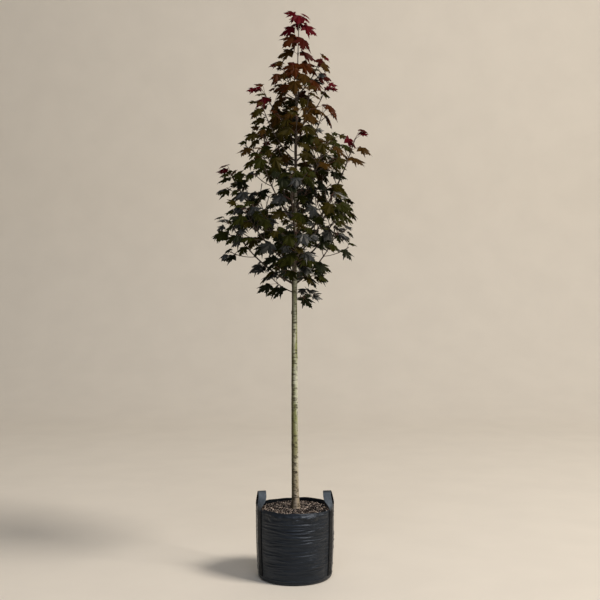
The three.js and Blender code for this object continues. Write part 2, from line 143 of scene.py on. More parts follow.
BOUGH_THINNING = 0.55
STEM_TIP_RADIUS = 0.002

# Shoots and their nodes
SEED = 13
INTERNODE = 0.066
NODE_CROWDING = 1.15
NODE_TURN = 90
NODE_SPREAD = 14
FIRST_NODE = 0.3
FIRST_NODE_GAP = 0.04
TIP_SINK = 0.004
TWIG_LENGTH = 0.125
TWIG_SPREAD = 0.15
TWIG_SHORTENING = 0.75
TWIG_ANGLE = math.radians(52)
TWIG_LIFT = 0.3
TWIG_RADIUS = 0.0022
TWIG_NODES = (0.55, 0.96)
TWIG_LEAF_SHARE = 0.9
TWIG_KEY = 50

# Leader, with the bearings of its leaves at each node, from its foot
LEADER_BEARINGS = {
    0: (-15, 195),
    1: (-125, -40),
    2: (188, -12),
    3: (-32, -122),
    4: (-12, 182),
    5: (-35, -160),
    6: (170, 5),
}
LEADER_NODE_GAP = 0.01
LEADER_LEAF_SHARE = 1.2
LEADER_STALK_SHARE = 0.5

# Spurs between the nodes and on the bare boughs, and the pairs of leaves at the tips
SPUR_LENGTH = 0.034
SPUR_NODE = 0.9
SPUR_CHANCE = 0.3
SPUR_LEAF_SHARE = 0.7
SPUR_LEAF_SPREAD = 0.25
SPUR_KEY = 70
BARE_SPURS = (0.55, 0.85)
BARE_SPURS_BELOW = 1.66
BARE_SPUR_CHANCE = 0.5
BARE_SPUR_LEAF_SHARE = 0.85
BARE_SPUR_KEY = 20
TIP_PAIR = 0.999
TIP_PAIR_GAP = 0.012
TIP_PAIR_SPREAD = 0.2
TIP_PAIR_SHARES = (0.46,)
YOUNG_TIP_PAIR_SHARES = (0.46, 0.64)

# Short shoots on the trunk: in front below a height, behind above it
TRUNK_SHOOTS = 25
TRUNK_SHOOTS_LOW = 1.62
TRUNK_SHOOTS_HIGH = 2.5
TRUNK_SHOOTS_FRONT = 1.86
TRUNK_SHOOT_FANS = (-90, 200), (90, 290)
TRUNK_SHOOT_FOOT_SPREAD = 0.012
TRUNK_SHOOT_REACH = 0.075
TRUNK_SHOOT_REACH_SPREAD = 0.4
TRUNK_SHOOT_RISE = 0.7
TRUNK_SHOOT_TURN = 137.5
TRUNK_SHOOT_TURN_SPREAD = 0.07
TRUNK_SHOOT_NODES = (0.6, 0.97)
TRUNK_LEAF_SHARE = 0.8
TRUNK_SHOOT_KEY = 300

# How a leaf stands: angles in degrees, pulls as shares of a direction
PAIR_STEP = 0.002
NEAR_TRUNK = 0.02
STALK_ANGLE = 58
STALK_ANGLE_SPREAD = 12
STALK_OUT = 0.3
STALK_UP = 0.15
STALK_LENGTH_SPREAD = 0.3
FRESH_ANGLE = 0.6
FRESH_STALK = 1.1
SUN = np.array([0.15, -1, 0])
SUN_SIDE = 0.8
FACING_OUT = 0.5
HEADING_OUT = 0.5
HEADING_FACING = 0.4
TURN_SPREAD = 32
TILT_LOW = 0.6
TILT_HIGH = 1.25
FACE_SPREAD = 0.42
HANG = 0.22
HANG_SPREAD = 0.2
TIP_LIFT = 0.6
TIP_LEAF_SHARE = 0.62
TIP_LEAF_POWER = 6

# How many leaves stand, and within which reach of their mass
LEAF_TRIES = 8
LEAF_GAPS = 0.08
MIDDLE_GAPS = 0.5
MIDDLE_FROM = 1.6
MIDDLE_TO = 2.42
REACH_SLACK = np.array([0.02, 0.02, 0.045])
BOUGH_REACH = 0.08
ROOT_REACH = 0.016
ROOT_HALF_WIDTH = 0.001
# Rings and sides of the plain limbs that keep their room in the crown
TRUNK_ROOM = 30, 8
BOUGH_ROOM = 6, 5
STEM_ROOM = 8, 3
TWIG_ROOM = 4, 3
BOUGH_ROOM_FROM = 0.04

# Leaf blade, in leaf lengths: along the midrib, across it and up from it. Half of the rim, stalk to tip.
LEAF_RIM = [
    (-0.090, 0.140, -0.045),
    (-0.010, 0.530, -0.125),
    (0.215, 0.300, -0.085),
    (0.345, 0.490, -0.130),
    (0.420, 0.425, -0.115),
    (0.735, 0.655, -0.200),
    (0.560, 0.375, -0.125),
    (0.640, 0.325, -0.130),
    (0.450, 0.180, -0.080),
    (0.690, 0.270, -0.140),
    (0.745, 0.140, -0.105),
    (0.865, 0.135, -0.145),
    (0.895, 0.048, -0.120),
]
BASAL_LOBE, BASAL_NOTCH, SIDE_LOBE, SIDE_NOTCH = 1, 2, 5, 8
LEAF_RIBS = [(0.360, 0.310, -0.010), (0.020, 0.250, -0.015)]
LEAF_MIDRIB = [(0.420, 0.0, 0.012), (0.740, 0.0, -0.035), (0.055, 0.0, 0.006)]
LEAF_TIP = (1.05, 0.0, -0.165)
LEAF_HALF_FACES = [
    ("base", 0, "hub"), ("hub", 0, "basal"), (0, 1, "basal"), ("basal", 1, 2), ("hub", "basal", 2),
    ("hub", 2, "side"), ("side", 2, 3), ("side", 3, 4), ("side", 4, 5),
    ("side", 5, 6), ("side", 6, 7), ("side", 7, 8), ("hub", "side", 8),
    ("hub", 8, "low"), ("low", 8, 9), ("low", 9, 10), ("low", 10, "high"),
    ("high", 10, 11), ("high", 11, 12), ("high", 12, "tip"),
]

# Tints of the sprays by the height of their leaves, and the sprays that differ from their height
LEAF_TINTS = ("teal", "green", "olive", "slate", "bronze", "russet", "maroon", "crimson")
SPRAY_TINTS = [
    (1.68, "teal"),
    (2.08, "green"),
    (2.33, "olive"),
    (2.50, "bronze"),
    (2.62, "russet"),
    (LEADER_TIP + 1, "maroon"),
]
# Slate leaves are partly painted light: a grey colour that stands for the sky's sheen on glossy leaves.
SLATE_SPRAYS = {"2_front", "sprout_right", "2_back"}
SLATE_TRUNK_SHOOTS = 4
YOUNG_TIPS = {"5_left", "5_right", "13_left", "13_right", "15_right", "10_back", "8_left", "leader"}
YOUNG_PART = 0.62
YOUNG_STRAYS = 0.25
# How often a leaf has another tint than its spray's, and which
STRAY_CHANCE = 0.54
STRAY_TINTS = {
    "teal": ("green", "olive", "slate"),
    "green": ("olive", "teal", "slate"),
    "olive": ("green", "bronze", "green"),
    "slate": ("teal", "green", "olive"),
    "bronze": ("olive", "russet", "olive"),
    "russet": ("bronze", "maroon", "olive"),
    "maroon": ("russet", "bronze", "russet"),
}


def linear(colour):
    """An sRGB hex value as linear red, green and blue."""
    channels = [int(colour[i : i + 2], 16) / 255 for i in (1, 3, 5)]
    return [c / 12.92 if c <= 0.04045 else ((c + 0.055) / 1.055) ** 2.4 for c in channels]


def size(name, description, default):
    """A length that a user may change."""
    limits = {"min": 0, "unit": "LENGTH", "precision": 4}
    return FloatProperty(name=name, description=description, default=default, **limits)


def share(name, description, default):
    """A plain factor that a user may change."""
    limits = {"min": 0, "soft_max": 1, "subtype": "FACTOR"}
    return FloatProperty(name=name, description=description, default=default, **limits)


def tint(name, description, colour):
    """A colour that a user may change."""
    limits = {"min": 0, "max": 1, "subtype": "COLOR"}
    return FloatVectorProperty(name=name, description=description, default=linear(colour), **limits)


def power(name, description, default):
    """A light's power that a user may change."""
    return FloatProperty(name=name, description=description, default=default, unit="POWER")


class BagSettings(bpy.types.PropertyGroup):
    """Sizes and colours of the planting bag and its handles"""

    wrinkle: share("Wrinkle depth", "How deep the cloth's folds are, 1 as modelled", 1.0)
    hem: size("Hem", "Depth of the doubled cloth below the rim", 0.03)
    strap_width: size("Strap width", "Width of the handles' webbing", 0.04)
    strap_thick: size("Strap thickness", "Thickness of the handles' webbing", 0.0024)
    cloth: tint("Cloth", "Lit tapes of the woven cloth", "#20252c")
    # Painted shade: this darker colour lies in the troughs of the cloth's ripple streaks, and the lit colour
    # lies on their crests.
    cloth_ripple_shade: tint("Cloth, dark", "Tapes that dive under", "#0b0d10")
    # Painted reflection: a blue tint on the gloss of cloth and webbing, standing in for the sky.
    sky: tint("Gloss", "Cast of the gloss on cloth and webbing", "#b9c7dd")
    strap: tint("Strap", "Ribs of the webbing", "#14161a")
    # Painted light: a blue-grey sheen laid on the front of the handle loops. Their backs keep the dark strap
    # colour as painted shade.
    strap_faded: tint("Strap, faded", "Loops of the handles", "#5f6974")
    # Painted shade between the ribs of the webbing.
    strap_dark: tint("Strap, dark", "Between the ribs of the webbing", "#090a0b")
    thread: tint("Thread", "Stitching of the hem and straps", "#1d1f23")


class MulchSettings(bpy.types.PropertyGroup):
    """Sizes and colours of the bark mulch"""

    chips: IntProperty(name="Chips", description="How many chips of bark lie on the bed", default=7600, min=0)
    chip: size("Chip", "Usual length of a chip", 0.008)
    # Dark compost, made darker still as painted shade in the gaps between the chips.
    bed: tint("Bed", "Damp compost under the chips", "#130b08")
    dark: tint("Dark chips", "Damp bark", "#160d0a")
    brown: tint("Brown chips", "Bark", "#40312a")
    pale: tint("Pale chips", "Dry inner bark and grit", "#e2d0c3")


class TrunkSettings(bpy.types.PropertyGroup):
    """Relief and colours of the trunk, boughs and twigs"""

    relief: share("Bark relief", "How far the bark's ridges stand out, 1 as modelled", 1.0)
    grey: tint("Grey bark", "Dry outer bark", "#c9ccb9")
    green: tint("Green bark", "Algae and young bark", "#868d5c")
    brown: tint("Brown bark", "Foot of the trunk", "#b9a797")
    # Painted shade: the trunk is darkened down its left side, away from the key light, in the colour of damp
    # bark with algae.
    damp: tint("Damp side", "Shaded side of the trunk", "#443b20")
    mark: tint("Marks", "Pores and old cuts", "#332a1c")
    # Partly painted shade: the trunk among the leaves is pinker, as young bark is, and darker for the shade
    # of the crown.
    high: tint("High bark", "Trunk among the leaves", "#a3978f")
    twig: tint("Twig", "Young bark", "#46382e")
    bud: tint("Bud", "Bud scales", "#431c17")


class LeafSettings(bpy.types.PropertyGroup):
    """Sizes and colours of the leaves"""

    length: size("Leaf length", "From the stalk to the tip of the blade", 0.08)
    stalk: size("Stalk length", "From the twig to the blade", 0.052)
    thick: size("Thickness", "Of the blade at its ribs", 0.0009)
    teal: tint("Teal", "Oldest leaves", "#1f2316")
    green: tint("Green", "Old leaves", "#292b0d")
    olive: tint("Olive", "Older leaves", "#312b0c")
    # Partly painted light: the grey stands for a sky sheen on the leaves, which are also glossier.
    slate: tint("Slate", "Older leaves with a grey bloom", "#2a2c2a")
    bronze: tint("Bronze", "Leaves that turn from young to old", "#3c290c")
    russet: tint("Russet", "Lit leaves below the leader", "#42200b")
    maroon: tint("Maroon", "Leaves next to the young tips", "#3c130d")
    crimson: tint("Crimson", "Young leaves at the tips", "#4f0d15")
    stalk_colour: tint("Stalk", "Stalks and ribs", "#6d453c")


class StageSettings(bpy.types.PropertyGroup):
    """Camera, lights and floor"""

    distance: size("Camera distance", "From the middle of the bag", 4.68)
    eye: size("Camera height", "Above the floor", 1.4175)
    aside: size("Camera aside", "To the right of the middle of the bag", 0.0258)
    lens: FloatProperty(
        name="Lens", description="Focal length on a 36 mm wide frame", default=54.48, unit="CAMERA"
    )
    floor: size("Floor", "Width of the floor", 60.0)
    back: size("Floor depth", "From the tree to the foot of the sweep", 5.5)
    sweep: size("Sweep", "Radius of the sweep behind the tree", 3.0)
    key: power("Key light", "Soft light from the right and above", 1550)
    fill: power("Fill light", "Soft light from the left", 20)
    top: power("Top light", "Soft light from above", 260)
    air: FloatProperty(name="Air", description="Strength of the light from all round", default=0.17, min=0)
    pale: tint("Floor and air", "Floor and surroundings", "#e8e3da")


# Growth


def chance(*keys):
    """A number from 0 to 1, always the same for the same keys, of which the last tells draws apart."""
    first, step, scale = 12.9898, 65.243, 43758.5453
    wave = sum(((key + 1) * (first + step * i) for i, key in enumerate(keys)), SEED)
    scaled = math.sin(wave) * scale
    return scaled - math.floor(scaled)


def spread(half, *keys):
    """A number from -half to half."""
    return (2 * chance(*keys) - 1) * half


def lerp(a, b, part):
    return a + (b - a) * part


def unit(vector):
    return vector / np.linalg.norm(vector)


def square(vector, along):
    """The direction of a vector made square to another."""
    return unit(vector - along * (vector @ along))


def turned(vector, axis, angle):
    """A vector turned about an axis of length 1."""
    flat = vector * math.cos(angle) + np.cross(axis, vector) * math.sin(angle)
    return flat + axis * (axis @ vector) * (1 - math.cos(angle))


def bearing_vector(angle):
    return np.array([math.cos(angle), math.sin(angle), 0.0])


def wrapped(angle):
    """Angles brought to within half a turn of 0."""
    return (angle + math.pi) % TURN - math.pi


def bell(off):
    """1 at 0, falling away smoothly on both sides."""
    return np.exp(-0.5 * off**2)


class Axis:
    """The curved axis of a limb, read by the share of its length."""

    SAMPLES = 200
    NUDGE = 1e-4

    def __init__(self, *controls):
        self.controls = np.array(controls, float)
        self.steps = np.linspace(0, 1, self.SAMPLES + 1)
        gaps = np.linalg.norm(np.diff(self.bezier(self.steps), axis=0), axis=1)
        self.run = np.concatenate([[0], np.cumsum(gaps)])
        self.length = self.run[-1]

    def bezier(self, t):
        order = len(self.controls) - 1
        t = np.asarray(t, float)[..., None]
        parts = [math.comb(order, i) * t**i * (1 - t) ** (order - i) for i in range(order + 1)]
        return sum(part * control for part, control in zip(parts, self.controls))

    def point(self, along):
        return self.bezier(np.interp(np.asarray(along) * self.length, self.run, self.steps))

    def direction(self, along):
        t = np.interp(along * self.length, self.run, self.steps)
        ends = self.bezier(np.clip([t - self.NUDGE, t + self.NUDGE], 0, 1))
        return unit(ends[1] - ends[0])

    def cross_frame(self, along, reference):
        """Point, direction and two cross directions at a share of the length."""
        way = self.direction(along)
        across = square(reference, way)
        return self.point(along), way, across, np.cross(across, way)


class Shoot:
    """A leafy axis: where its wood starts, how thick it is and the keys of its chances."""

    def __init__(self, axis, start, radius, reference, keys):
        self.axis, self.start, self.radius = axis, start, radius
        self.reference, self.keys = reference, keys
        self.nodes, self.bearings, self.stalk_share = [], {}, 1.0

    def radius_at(self, along):
        return lerp(self.radius, STEM_TIP_RADIUS, (along - self.start) / (1 - self.start))

    def node_shares(self, first):
        """Shares of the nodes, closer together towards the tip."""
        count = max(1, round(self.axis.length * (1 - first) / INTERNODE))
        last = 1 - TIP_SINK / self.axis.length
        return [last - (last - first) * (1 - i / count) ** NODE_CROWDING for i in range(count + 1)]

    def side(self, along, node, side):
        """Point, direction and the way out at one side of a node."""
        point, way, across, third = self.axis.cross_frame(along, self.reference)
        if node in self.bearings:
            return point, way, bearing_vector(math.radians(self.bearings[node][side]))
        stray = spread(NODE_SPREAD, *self.keys, node, side, 1)
        angle = math.radians(NODE_TURN * node + 180 * side + stray)
        return point, way, across * math.cos(angle) + third * math.sin(angle)

    def twig(self, along, node, side, length, key):
        """A side shoot that leaves this one at one side of a node."""
        point, way, out = self.side(along, node, side)
        way = way * math.cos(TWIG_ANGLE) + out * math.sin(TWIG_ANGLE)
        length *= 1 + spread(TWIG_SPREAD, *self.keys, node, side, 2)
        axis = Axis(point, point + way * length / 2, point + way * length + UP * length * TWIG_LIFT)
        return Shoot(axis, 0.0, TWIG_RADIUS, unit(np.cross(way, UP)), [*self.keys, key + 2 * node + side])

    def shape(self, rings, sides):
        """Points and faces of the plain shoot, to keep its room in the crown."""
        shares = np.linspace(self.start, 1, rings)
        return tube_shape(self.axis.point(shares), self.radius_at(shares), sides, self.reference)


class Mass:
    """One bough with its spray of leaves."""

    def __init__(self, name, foot, bearing, reach, rise, bare, index):
        self.name, self.foot, self.bare, self.index = name, foot, bare, index
        self.bearing = math.radians(bearing)
        outward = bearing_vector(self.bearing)
        start = trunk_axis().point(trunk_share(foot))
        bend = start + outward * reach * BEND_OUT + UP * rise * BEND_UP
        self.axis = Axis(start, bend, start + outward * reach + UP * rise)
        self.reference = np.cross(UP, outward)
        self.long = rise > LONG_RISE
        self.split = (LONG_BARE_SHARE if self.long else BARE_SHARE) if bare else 0.0
        self.thick = BOUGH_RADIUS * math.sqrt(self.axis.length / BOUGH_LENGTH)
        self.stem = Shoot(self.axis, self.split, self.radius_at(self.split), self.reference, [index])
        self.first = self.split + FIRST_NODE_GAP if bare else FIRST_NODE
        self.twigs, self.taken, self.largest = [], set(), 1.0
        self.low, self.high = np.full(3, -np.inf), np.full(3, np.inf)
        middle = MIDDLE_FROM < foot < MIDDLE_TO and not self.long
        self.gaps = MIDDLE_GAPS if middle else LEAF_GAPS

    def radius_at(self, along):
        """The bare bough's radius at a share or shares of its length."""
        return self.thick * (1 - BOUGH_THINNING * along)

    def holds(self, points):
        """Whether points stay within the reach of the mass."""
        return np.all((points > self.low) & (points < self.high))


class Leaf:
    """Where one leaf's stalk and blade go."""

    def __init__(self, foot, base, midrib, normal, length, keys):
        self.foot, self.base, self.midrib, self.normal = foot, base, midrib, normal
        self.length, self.keys, self.tint = length, keys, None
        self.left = np.cross(normal, midrib)

    def place(self, points):
        """Points of the blade, in leaf lengths, set in the crown."""
        along, across, up = np.hsplit(np.asarray(points, float) * self.length, 3)
        return self.base + along * self.midrib + across * self.left + up * self.normal

    def room(self):
        """A plain star and stalk that stand for the leaf, with the faces that lie away from its root."""
        lobes = [LEAF_RIM[i] for i in (BASAL_LOBE, BASAL_NOTCH, SIDE_LOBE, SIDE_NOTCH)]
        star = self.place([*mirrored(lobes), LEAF_TIP, *reversed(lobes)])
        stalk = self.base - self.foot
        out = self.foot + unit(stalk) * min(ROOT_REACH, np.linalg.norm(stalk))
        side = self.left * ROOT_HALF_WIDTH
        root = [self.foot - side, self.foot + side, out - side, out + side]
        base = len(star)
        free = [(base, i, i + 1) for i in range(base - 1)] + [(base, base + 3, base + 4)]
        faces = [*free, (base + 1, base + 2, base + 4, base + 3)]
        return np.vstack([star, self.base, *root]), faces, free


def mirrored(points):
    """Points of a blade's half carried over to its other half."""
    return [(u, -v, w) for u, v, w in points]


@functools.cache
def trunk_axis():
    heights = np.linspace(GROUND, LEADER_TIP, len(TRUNK_SWAY))
    return Axis(*[(x, y, z) for (x, y), z in zip(TRUNK_SWAY, heights)])


def trunk_share(height):
    return (height - GROUND) / (LEADER_TIP - GROUND)


def trunk_radius(height):
    """The trunk's radius at a height or heights."""
    flare = FLARE_RADIUS * np.exp(-(height - GROUND) / FLARE_HEIGHT)
    heights = [GROUND, CROWN_BASE, TRUNK_TIP]
    return np.interp(height, heights, [STEM_RADIUS_LOW, STEM_RADIUS_HIGH, TRUNK_TIP_RADIUS]) + flare


def crown_plan():
    """Every bough and shoot: the pairs from the lowest up, the sprouts, then the leader."""
    masses = []
    for tier, (foot, bearing, sides, reach, rise) in enumerate(PAIRS):
        for i, side in enumerate(sides):
            name = f"{tier + 1}_{side}"
            bare = tier < BOUGH_PAIRS
            masses.append(Mass(name, foot, bearing + 180 * i, reach[i], rise[i], bare, len(masses)))
    for name, foot, bearing, reach, rise in SPROUTS:
        masses.append(Mass(name, foot, bearing, reach, rise, False, len(masses)))
    return [*masses, leader_mass(len(masses))]


def leader_mass(index):
    """The leafy tip of the trunk, whose axis is the trunk's own."""
    leader = Mass("leader", TRUNK_TIP, 0, 0, LEADER_TIP - TRUNK_TIP, False, index)
    leader.axis = trunk_axis()
    leader.reference = np.array([1.0, 0, 0])
    start = trunk_share(TRUNK_TIP)
    leader.stem = Shoot(leader.axis, start, TRUNK_TIP_RADIUS, leader.reference, [index])
    leader.stem.bearings, leader.stem.stalk_share = LEADER_BEARINGS, LEADER_STALK_SHARE
    leader.first = start + LEADER_NODE_GAP
    leader.largest, leader.gaps = LEADER_LEAF_SHARE, 0.0
    return leader


def trunk_shoots():
    """Short shoots on the trunk between the feet of the boughs, each a small mass of its own."""
    shoots = []
    for i in range(TRUNK_SHOOTS):
        index = TRUNK_SHOOT_KEY + i
        foot = lerp(TRUNK_SHOOTS_LOW, TRUNK_SHOOTS_HIGH, i / (TRUNK_SHOOTS - 1))
        foot += spread(TRUNK_SHOOT_FOOT_SPREAD, index, 1)
        reach = TRUNK_SHOOT_REACH * (1 + spread(TRUNK_SHOOT_REACH_SPREAD, index, 2))
        middle, fan = TRUNK_SHOOT_FANS[foot > TRUNK_SHOOTS_FRONT]
        turn = (TRUNK_SHOOT_TURN * i / 360 + spread(TRUNK_SHOOT_TURN_SPREAD, index, 3)) % 1
        bearing = middle + fan * (turn - 0.5)
        mass = Mass(f"shoot_{i}", foot, bearing, reach, reach * TRUNK_SHOOT_RISE, False, index)
        mass.stem.nodes = TRUNK_SHOOT_NODES
        mass.largest, mass.gaps = TRUNK_LEAF_SHARE, 0.0
        shoots.append(mass)
    return shoots


def leaf_tint(mass, height, along, keys):
    """The tint of a leaf: that of its spray, with some strays, and crimson at the young tips."""
    strays = 0.0 if mass.name == "leader" else YOUNG_STRAYS
    if mass.name in YOUNG_TIPS and along > YOUNG_PART and chance(*keys, 14) > strays:
        return "crimson"
    own = next(name for limit, name in SPRAY_TINTS if height < limit)
    on_trunk = mass.index >= TRUNK_SHOOT_KEY
    if mass.name in SLATE_SPRAYS or (on_trunk and mass.index % SLATE_TRUNK_SHOOTS == 0):
        own = "slate"
    if mass.name in YOUNG_TIPS and along > YOUNG_PART / 2:
        own = "maroon"
    stray = chance(*keys, 8)
    others = STRAY_TINTS[own]
    return own if stray >= STRAY_CHANCE else others[int(stray / STRAY_CHANCE * len(others))]


def tube_shape(centres, radii, sides, reference):
    """Points and faces of a round limb along a line of centres."""
    centres = np.asarray(centres, float)
    radii = np.broadcast_to(radii, len(centres))
    along = np.gradient(centres, axis=0)
    along /= np.linalg.norm(along, axis=1, keepdims=True)
    across = reference - along * (along @ reference)[:, None]
    across /= np.linalg.norm(across, axis=1, keepdims=True)
    third = np.cross(across, along)
    angles = np.arange(sides) * TURN / sides
    ring = across[:, None] * np.cos(angles)[:, None] + third[:, None] * np.sin(angles)[:, None]
    points = (centres[:, None] + ring * radii[:, None, None]).reshape(-1, 3)
    faces = []
    for i in range(len(centres) - 1):
        for j in range(sides):
            k = (j + 1) % sides
            faces.append((i * sides + j, (i + 1) * sides + j, (i + 1) * sides + k, i * sides + k))
    last = (len(centres) - 1) * sides
    faces += [tuple(range(sides)), tuple(last + j for j in reversed(range(sides)))]
    return points, faces


class Room:
    """What already stands in the crown, so that nothing grows into it."""

    def __init__(self):
        self.low, self.high, self.trees, self.owners = [], [], [], []

    def add(self, points, faces, owner):
        self.low.append(points.min(0))
        self.high.append(points.max(0))
        self.trees.append(BVHTree.FromPolygons(points.tolist(), faces))
        self.owners.append(owner)

    def clashes(self, points, faces, free_faces, owner):
        """Whether a piece cuts another. In its own mass its free faces, away from its root, count."""
        near = np.all((points.min(0) < self.high) & (np.array(self.low) < points.max(0)), axis=1)
        points = points.tolist()
        whole = BVHTree.FromPolygons(points, faces)
        free = BVHTree.FromPolygons(points, free_faces)
        for i in np.flatnonzero(near):
            if (free if self.owners[i] == owner else whole).overlap(self.trees[i]):
                return True
        return False


class Crown:
    """Every mass of the crown with its twigs and leaves, each in its own room."""

    def __init__(self, length, stalk_length):
        self.length, self.stalk_length = length, stalk_length
        self.masses, self.leaves, self.room = crown_plan(), [], Room()
        self.set_limbs()
        for mass in self.masses:
            self.set_reach(mass)
            mass.stem.nodes = mass.stem.node_shares(mass.first)
            if mass.bare:
                self.grow_twigs(mass)
        for mass in self.masses:
            self.leaves += self.grow_leaves(mass, mass.stem, mass.largest)
            for twig in mass.twigs:
                self.leaves += self.grow_leaves(mass, twig, TWIG_LEAF_SHARE * mass.largest)
        for mass in self.masses:
            self.grow_spurs(mass)
            self.grow_tip(mass)
        self.grow_trunk_shoots()

    def set_limbs(self):
        """Keeps the room of the trunk, the bare boughs and the leafy stems."""
        rings, sides = TRUNK_ROOM
        heights = np.linspace(GROUND, TRUNK_TIP, rings)
        centres = trunk_axis().point(trunk_share(heights))
        trunk = tube_shape(centres, trunk_radius(heights), sides, np.array([1.0, 0, 0]))
        self.room.add(*trunk, "trunk")
        rings, sides = BOUGH_ROOM
        for mass in self.masses:
            if mass.bare:
                shares = np.linspace(BOUGH_ROOM_FROM, mass.split, rings)
                centres, radii = mass.axis.point(shares), mass.radius_at(shares)
                self.room.add(*tube_shape(centres, radii, sides, mass.reference), mass.name)
            self.room.add(*mass.stem.shape(*STEM_ROOM), mass.name)

    def set_reach(self, mass):
        """Lets the leaves of a mass reach as far as its solids, and not past the whole part's box."""
        low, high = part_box(f"foliage_{mass.name}")
        if mass.bare:
            bough_low, bough_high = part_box(f"bough_{mass.name}")
            low = np.minimum(low, np.asarray(bough_low) - BOUGH_REACH)
            high = np.maximum(high, np.asarray(bough_high) + BOUGH_REACH)
        mass.low = np.maximum(low, CAD_BOX[0]) - REACH_SLACK
        mass.high = np.minimum(high, CAD_BOX[1]) + REACH_SLACK

    def grow_twigs(self, mass):
        """Side twigs at the nodes between the first and the last, shorter towards the tip."""
        last = 1 if mass.long else len(mass.stem.nodes) - 1
        for node in range(1, last):
            length = TWIG_LENGTH * TWIG_SHORTENING ** (node - 1)
            for side in (0, 1):
                twig = mass.stem.twig(mass.stem.nodes[node], node, side, length, TWIG_KEY)
                twig.nodes = TWIG_NODES
                points, faces = twig.shape(*TWIG_ROOM)
                free = [face for face in faces if min(face) >= TWIG_ROOM[1]]
                if not self.room.clashes(points, faces, free, mass.name):
                    self.room.add(points, faces, mass.name)
                    mass.twigs.append(twig)
                    mass.taken.add((node, side))

    def grow_leaves(self, mass, shoot, largest):
        """The leaves of one shoot that find room, a pair at each node."""
        grown = []
        for node, along in enumerate(shoot.nodes):
            part = node / max(1, len(shoot.nodes) - 1)
            size_share = largest * lerp(1, TIP_LEAF_SHARE, part**TIP_LEAF_POWER)
            for side in (0, 1):
                taken = shoot is mass.stem and (node, side) in mass.taken
                if not taken and chance(*shoot.keys, node, side, 13) >= mass.gaps:
                    grown += self.free_leaf(mass, shoot, (along, node, side), size_share, part)
        return grown

    def free_leaf(self, mass, shoot, spot, size_share, part):
        """The first try at a leaf that cuts nothing, in a list, or an empty list."""
        young = part if shoot is mass.stem else 0.0
        for attempt in range(LEAF_TRIES):
            leaf = self.plan_leaf(shoot, spot, size_share, young, attempt)
            points, faces, free = leaf.room()
            if not mass.holds(points) or self.room.clashes(points, faces, free, mass.name):
                continue
            self.room.add(points, faces, mass.name)
            leaf.tint = leaf_tint(mass, leaf.base[2], young, leaf.keys)
            return [leaf]
        return []

    def plan_leaf(self, shoot, spot, size_share, young, attempt):
        """A leaf at a spot, which is a share of the shoot, a node and a side, for a numbered try."""
        along, node, side = spot
        keys = [*shoot.keys, node, side, 10 * attempt]
        fresh = young**TIP_LEAF_POWER
        point, way, out = shoot.side(along + (2 * side - 1) * PAIR_STEP / shoot.axis.length, node, side)
        off = (point - trunk_axis().point(trunk_share(point[2]))) * LEVEL
        outward = unit(off if np.linalg.norm(off) > NEAR_TRUNK else out * LEVEL)
        angle = STALK_ANGLE * (1 - FRESH_ANGLE * fresh) + spread(STALK_ANGLE_SPREAD, *keys, 3)
        angle = math.radians(angle)
        stalk = unit(way * math.cos(angle) + out * math.sin(angle) + outward * STALK_OUT + UP * STALK_UP)
        longer = shoot.stalk_share * size_share * (1 + FRESH_STALK * fresh)
        longer *= 1 + spread(STALK_LENGTH_SPREAD, *keys, 4)
        base = point + stalk * (self.stalk_length * longer)
        # Leaves in front turn to the light, those behind turn outwards.
        facing = unit(outward * FACING_OUT + SUN * np.clip(SUN_SIDE - outward[1], 0, 1))
        heading = stalk * LEVEL + outward * HEADING_OUT + facing * HEADING_FACING
        heading = unit(turned(heading, UP, math.radians(spread(TURN_SPREAD, *keys, 5))))
        part = np.clip((point[2] - CROWN_BASE) / (LEADER_TIP - CROWN_BASE), 0, 1)
        face = UP + facing * lerp(TILT_LOW, TILT_HIGH, part)
        face = unit(face + [spread(FACE_SPREAD, *keys, 7), spread(FACE_SPREAD, *keys, 9), 0])
        hang = HANG + spread(HANG_SPREAD, *keys, 6) - TIP_LIFT * fresh
        midrib = unit(square(heading, face) - UP * hang)
        return Leaf(point, base, midrib, square(face, midrib), self.length * size_share, keys)

    def grow_spurs(self, mass):
        """Short spurs between the nodes and on some bare boughs, each with a leaf or two."""
        nodes, spots = mass.stem.nodes, []
        if not mass.stem.bearings:
            middles = [(a + b) / 2 for a, b in zip(nodes, nodes[1:])]
            spots = [(along, node, SPUR_CHANCE, SPUR_LEAF_SHARE) for node, along in enumerate(middles)]
        if mass.bare and mass.foot < BARE_SPURS_BELOW:
            for i, part in enumerate(BARE_SPURS):
                spots.append((part * mass.split, BARE_SPUR_KEY + i, BARE_SPUR_CHANCE, BARE_SPUR_LEAF_SHARE))
        for along, node, likely, leaf_share in spots:
            for side in (0, 1):
                spur = mass.stem.twig(along, node + 1, side, SPUR_LENGTH, SPUR_KEY)
                if chance(*spur.keys, 9) > likely:
                    continue
                spur.nodes = [SPUR_NODE]
                size_share = mass.largest * leaf_share * (1 + spread(SPUR_LEAF_SPREAD, *spur.keys, 11))
                found = self.free_leaf(mass, spur, (SPUR_NODE, node, 0), size_share, 0)
                found += self.free_leaf(mass, spur, (SPUR_NODE, node, 1), size_share, 0)
                if found:
                    mass.twigs.append(spur)
                    self.leaves += found

    def grow_tip(self, mass):
        """A pair of small leaves at the tip of a mass, and a second pair at a young tip."""
        shares = YOUNG_TIP_PAIR_SHARES if mass.name in YOUNG_TIPS else TIP_PAIR_SHARES
        for pair, pair_share in enumerate(shares):
            for side in (0, 1):
                stray = spread(TIP_PAIR_SPREAD, mass.index, side + 2 * pair, 12)
                spot = (TIP_PAIR - TIP_PAIR_GAP * pair, len(mass.stem.nodes) + pair, side)
                size_share = mass.largest * pair_share * (1 + stray)
                self.leaves += self.free_leaf(mass, mass.stem, spot, size_share, 1)

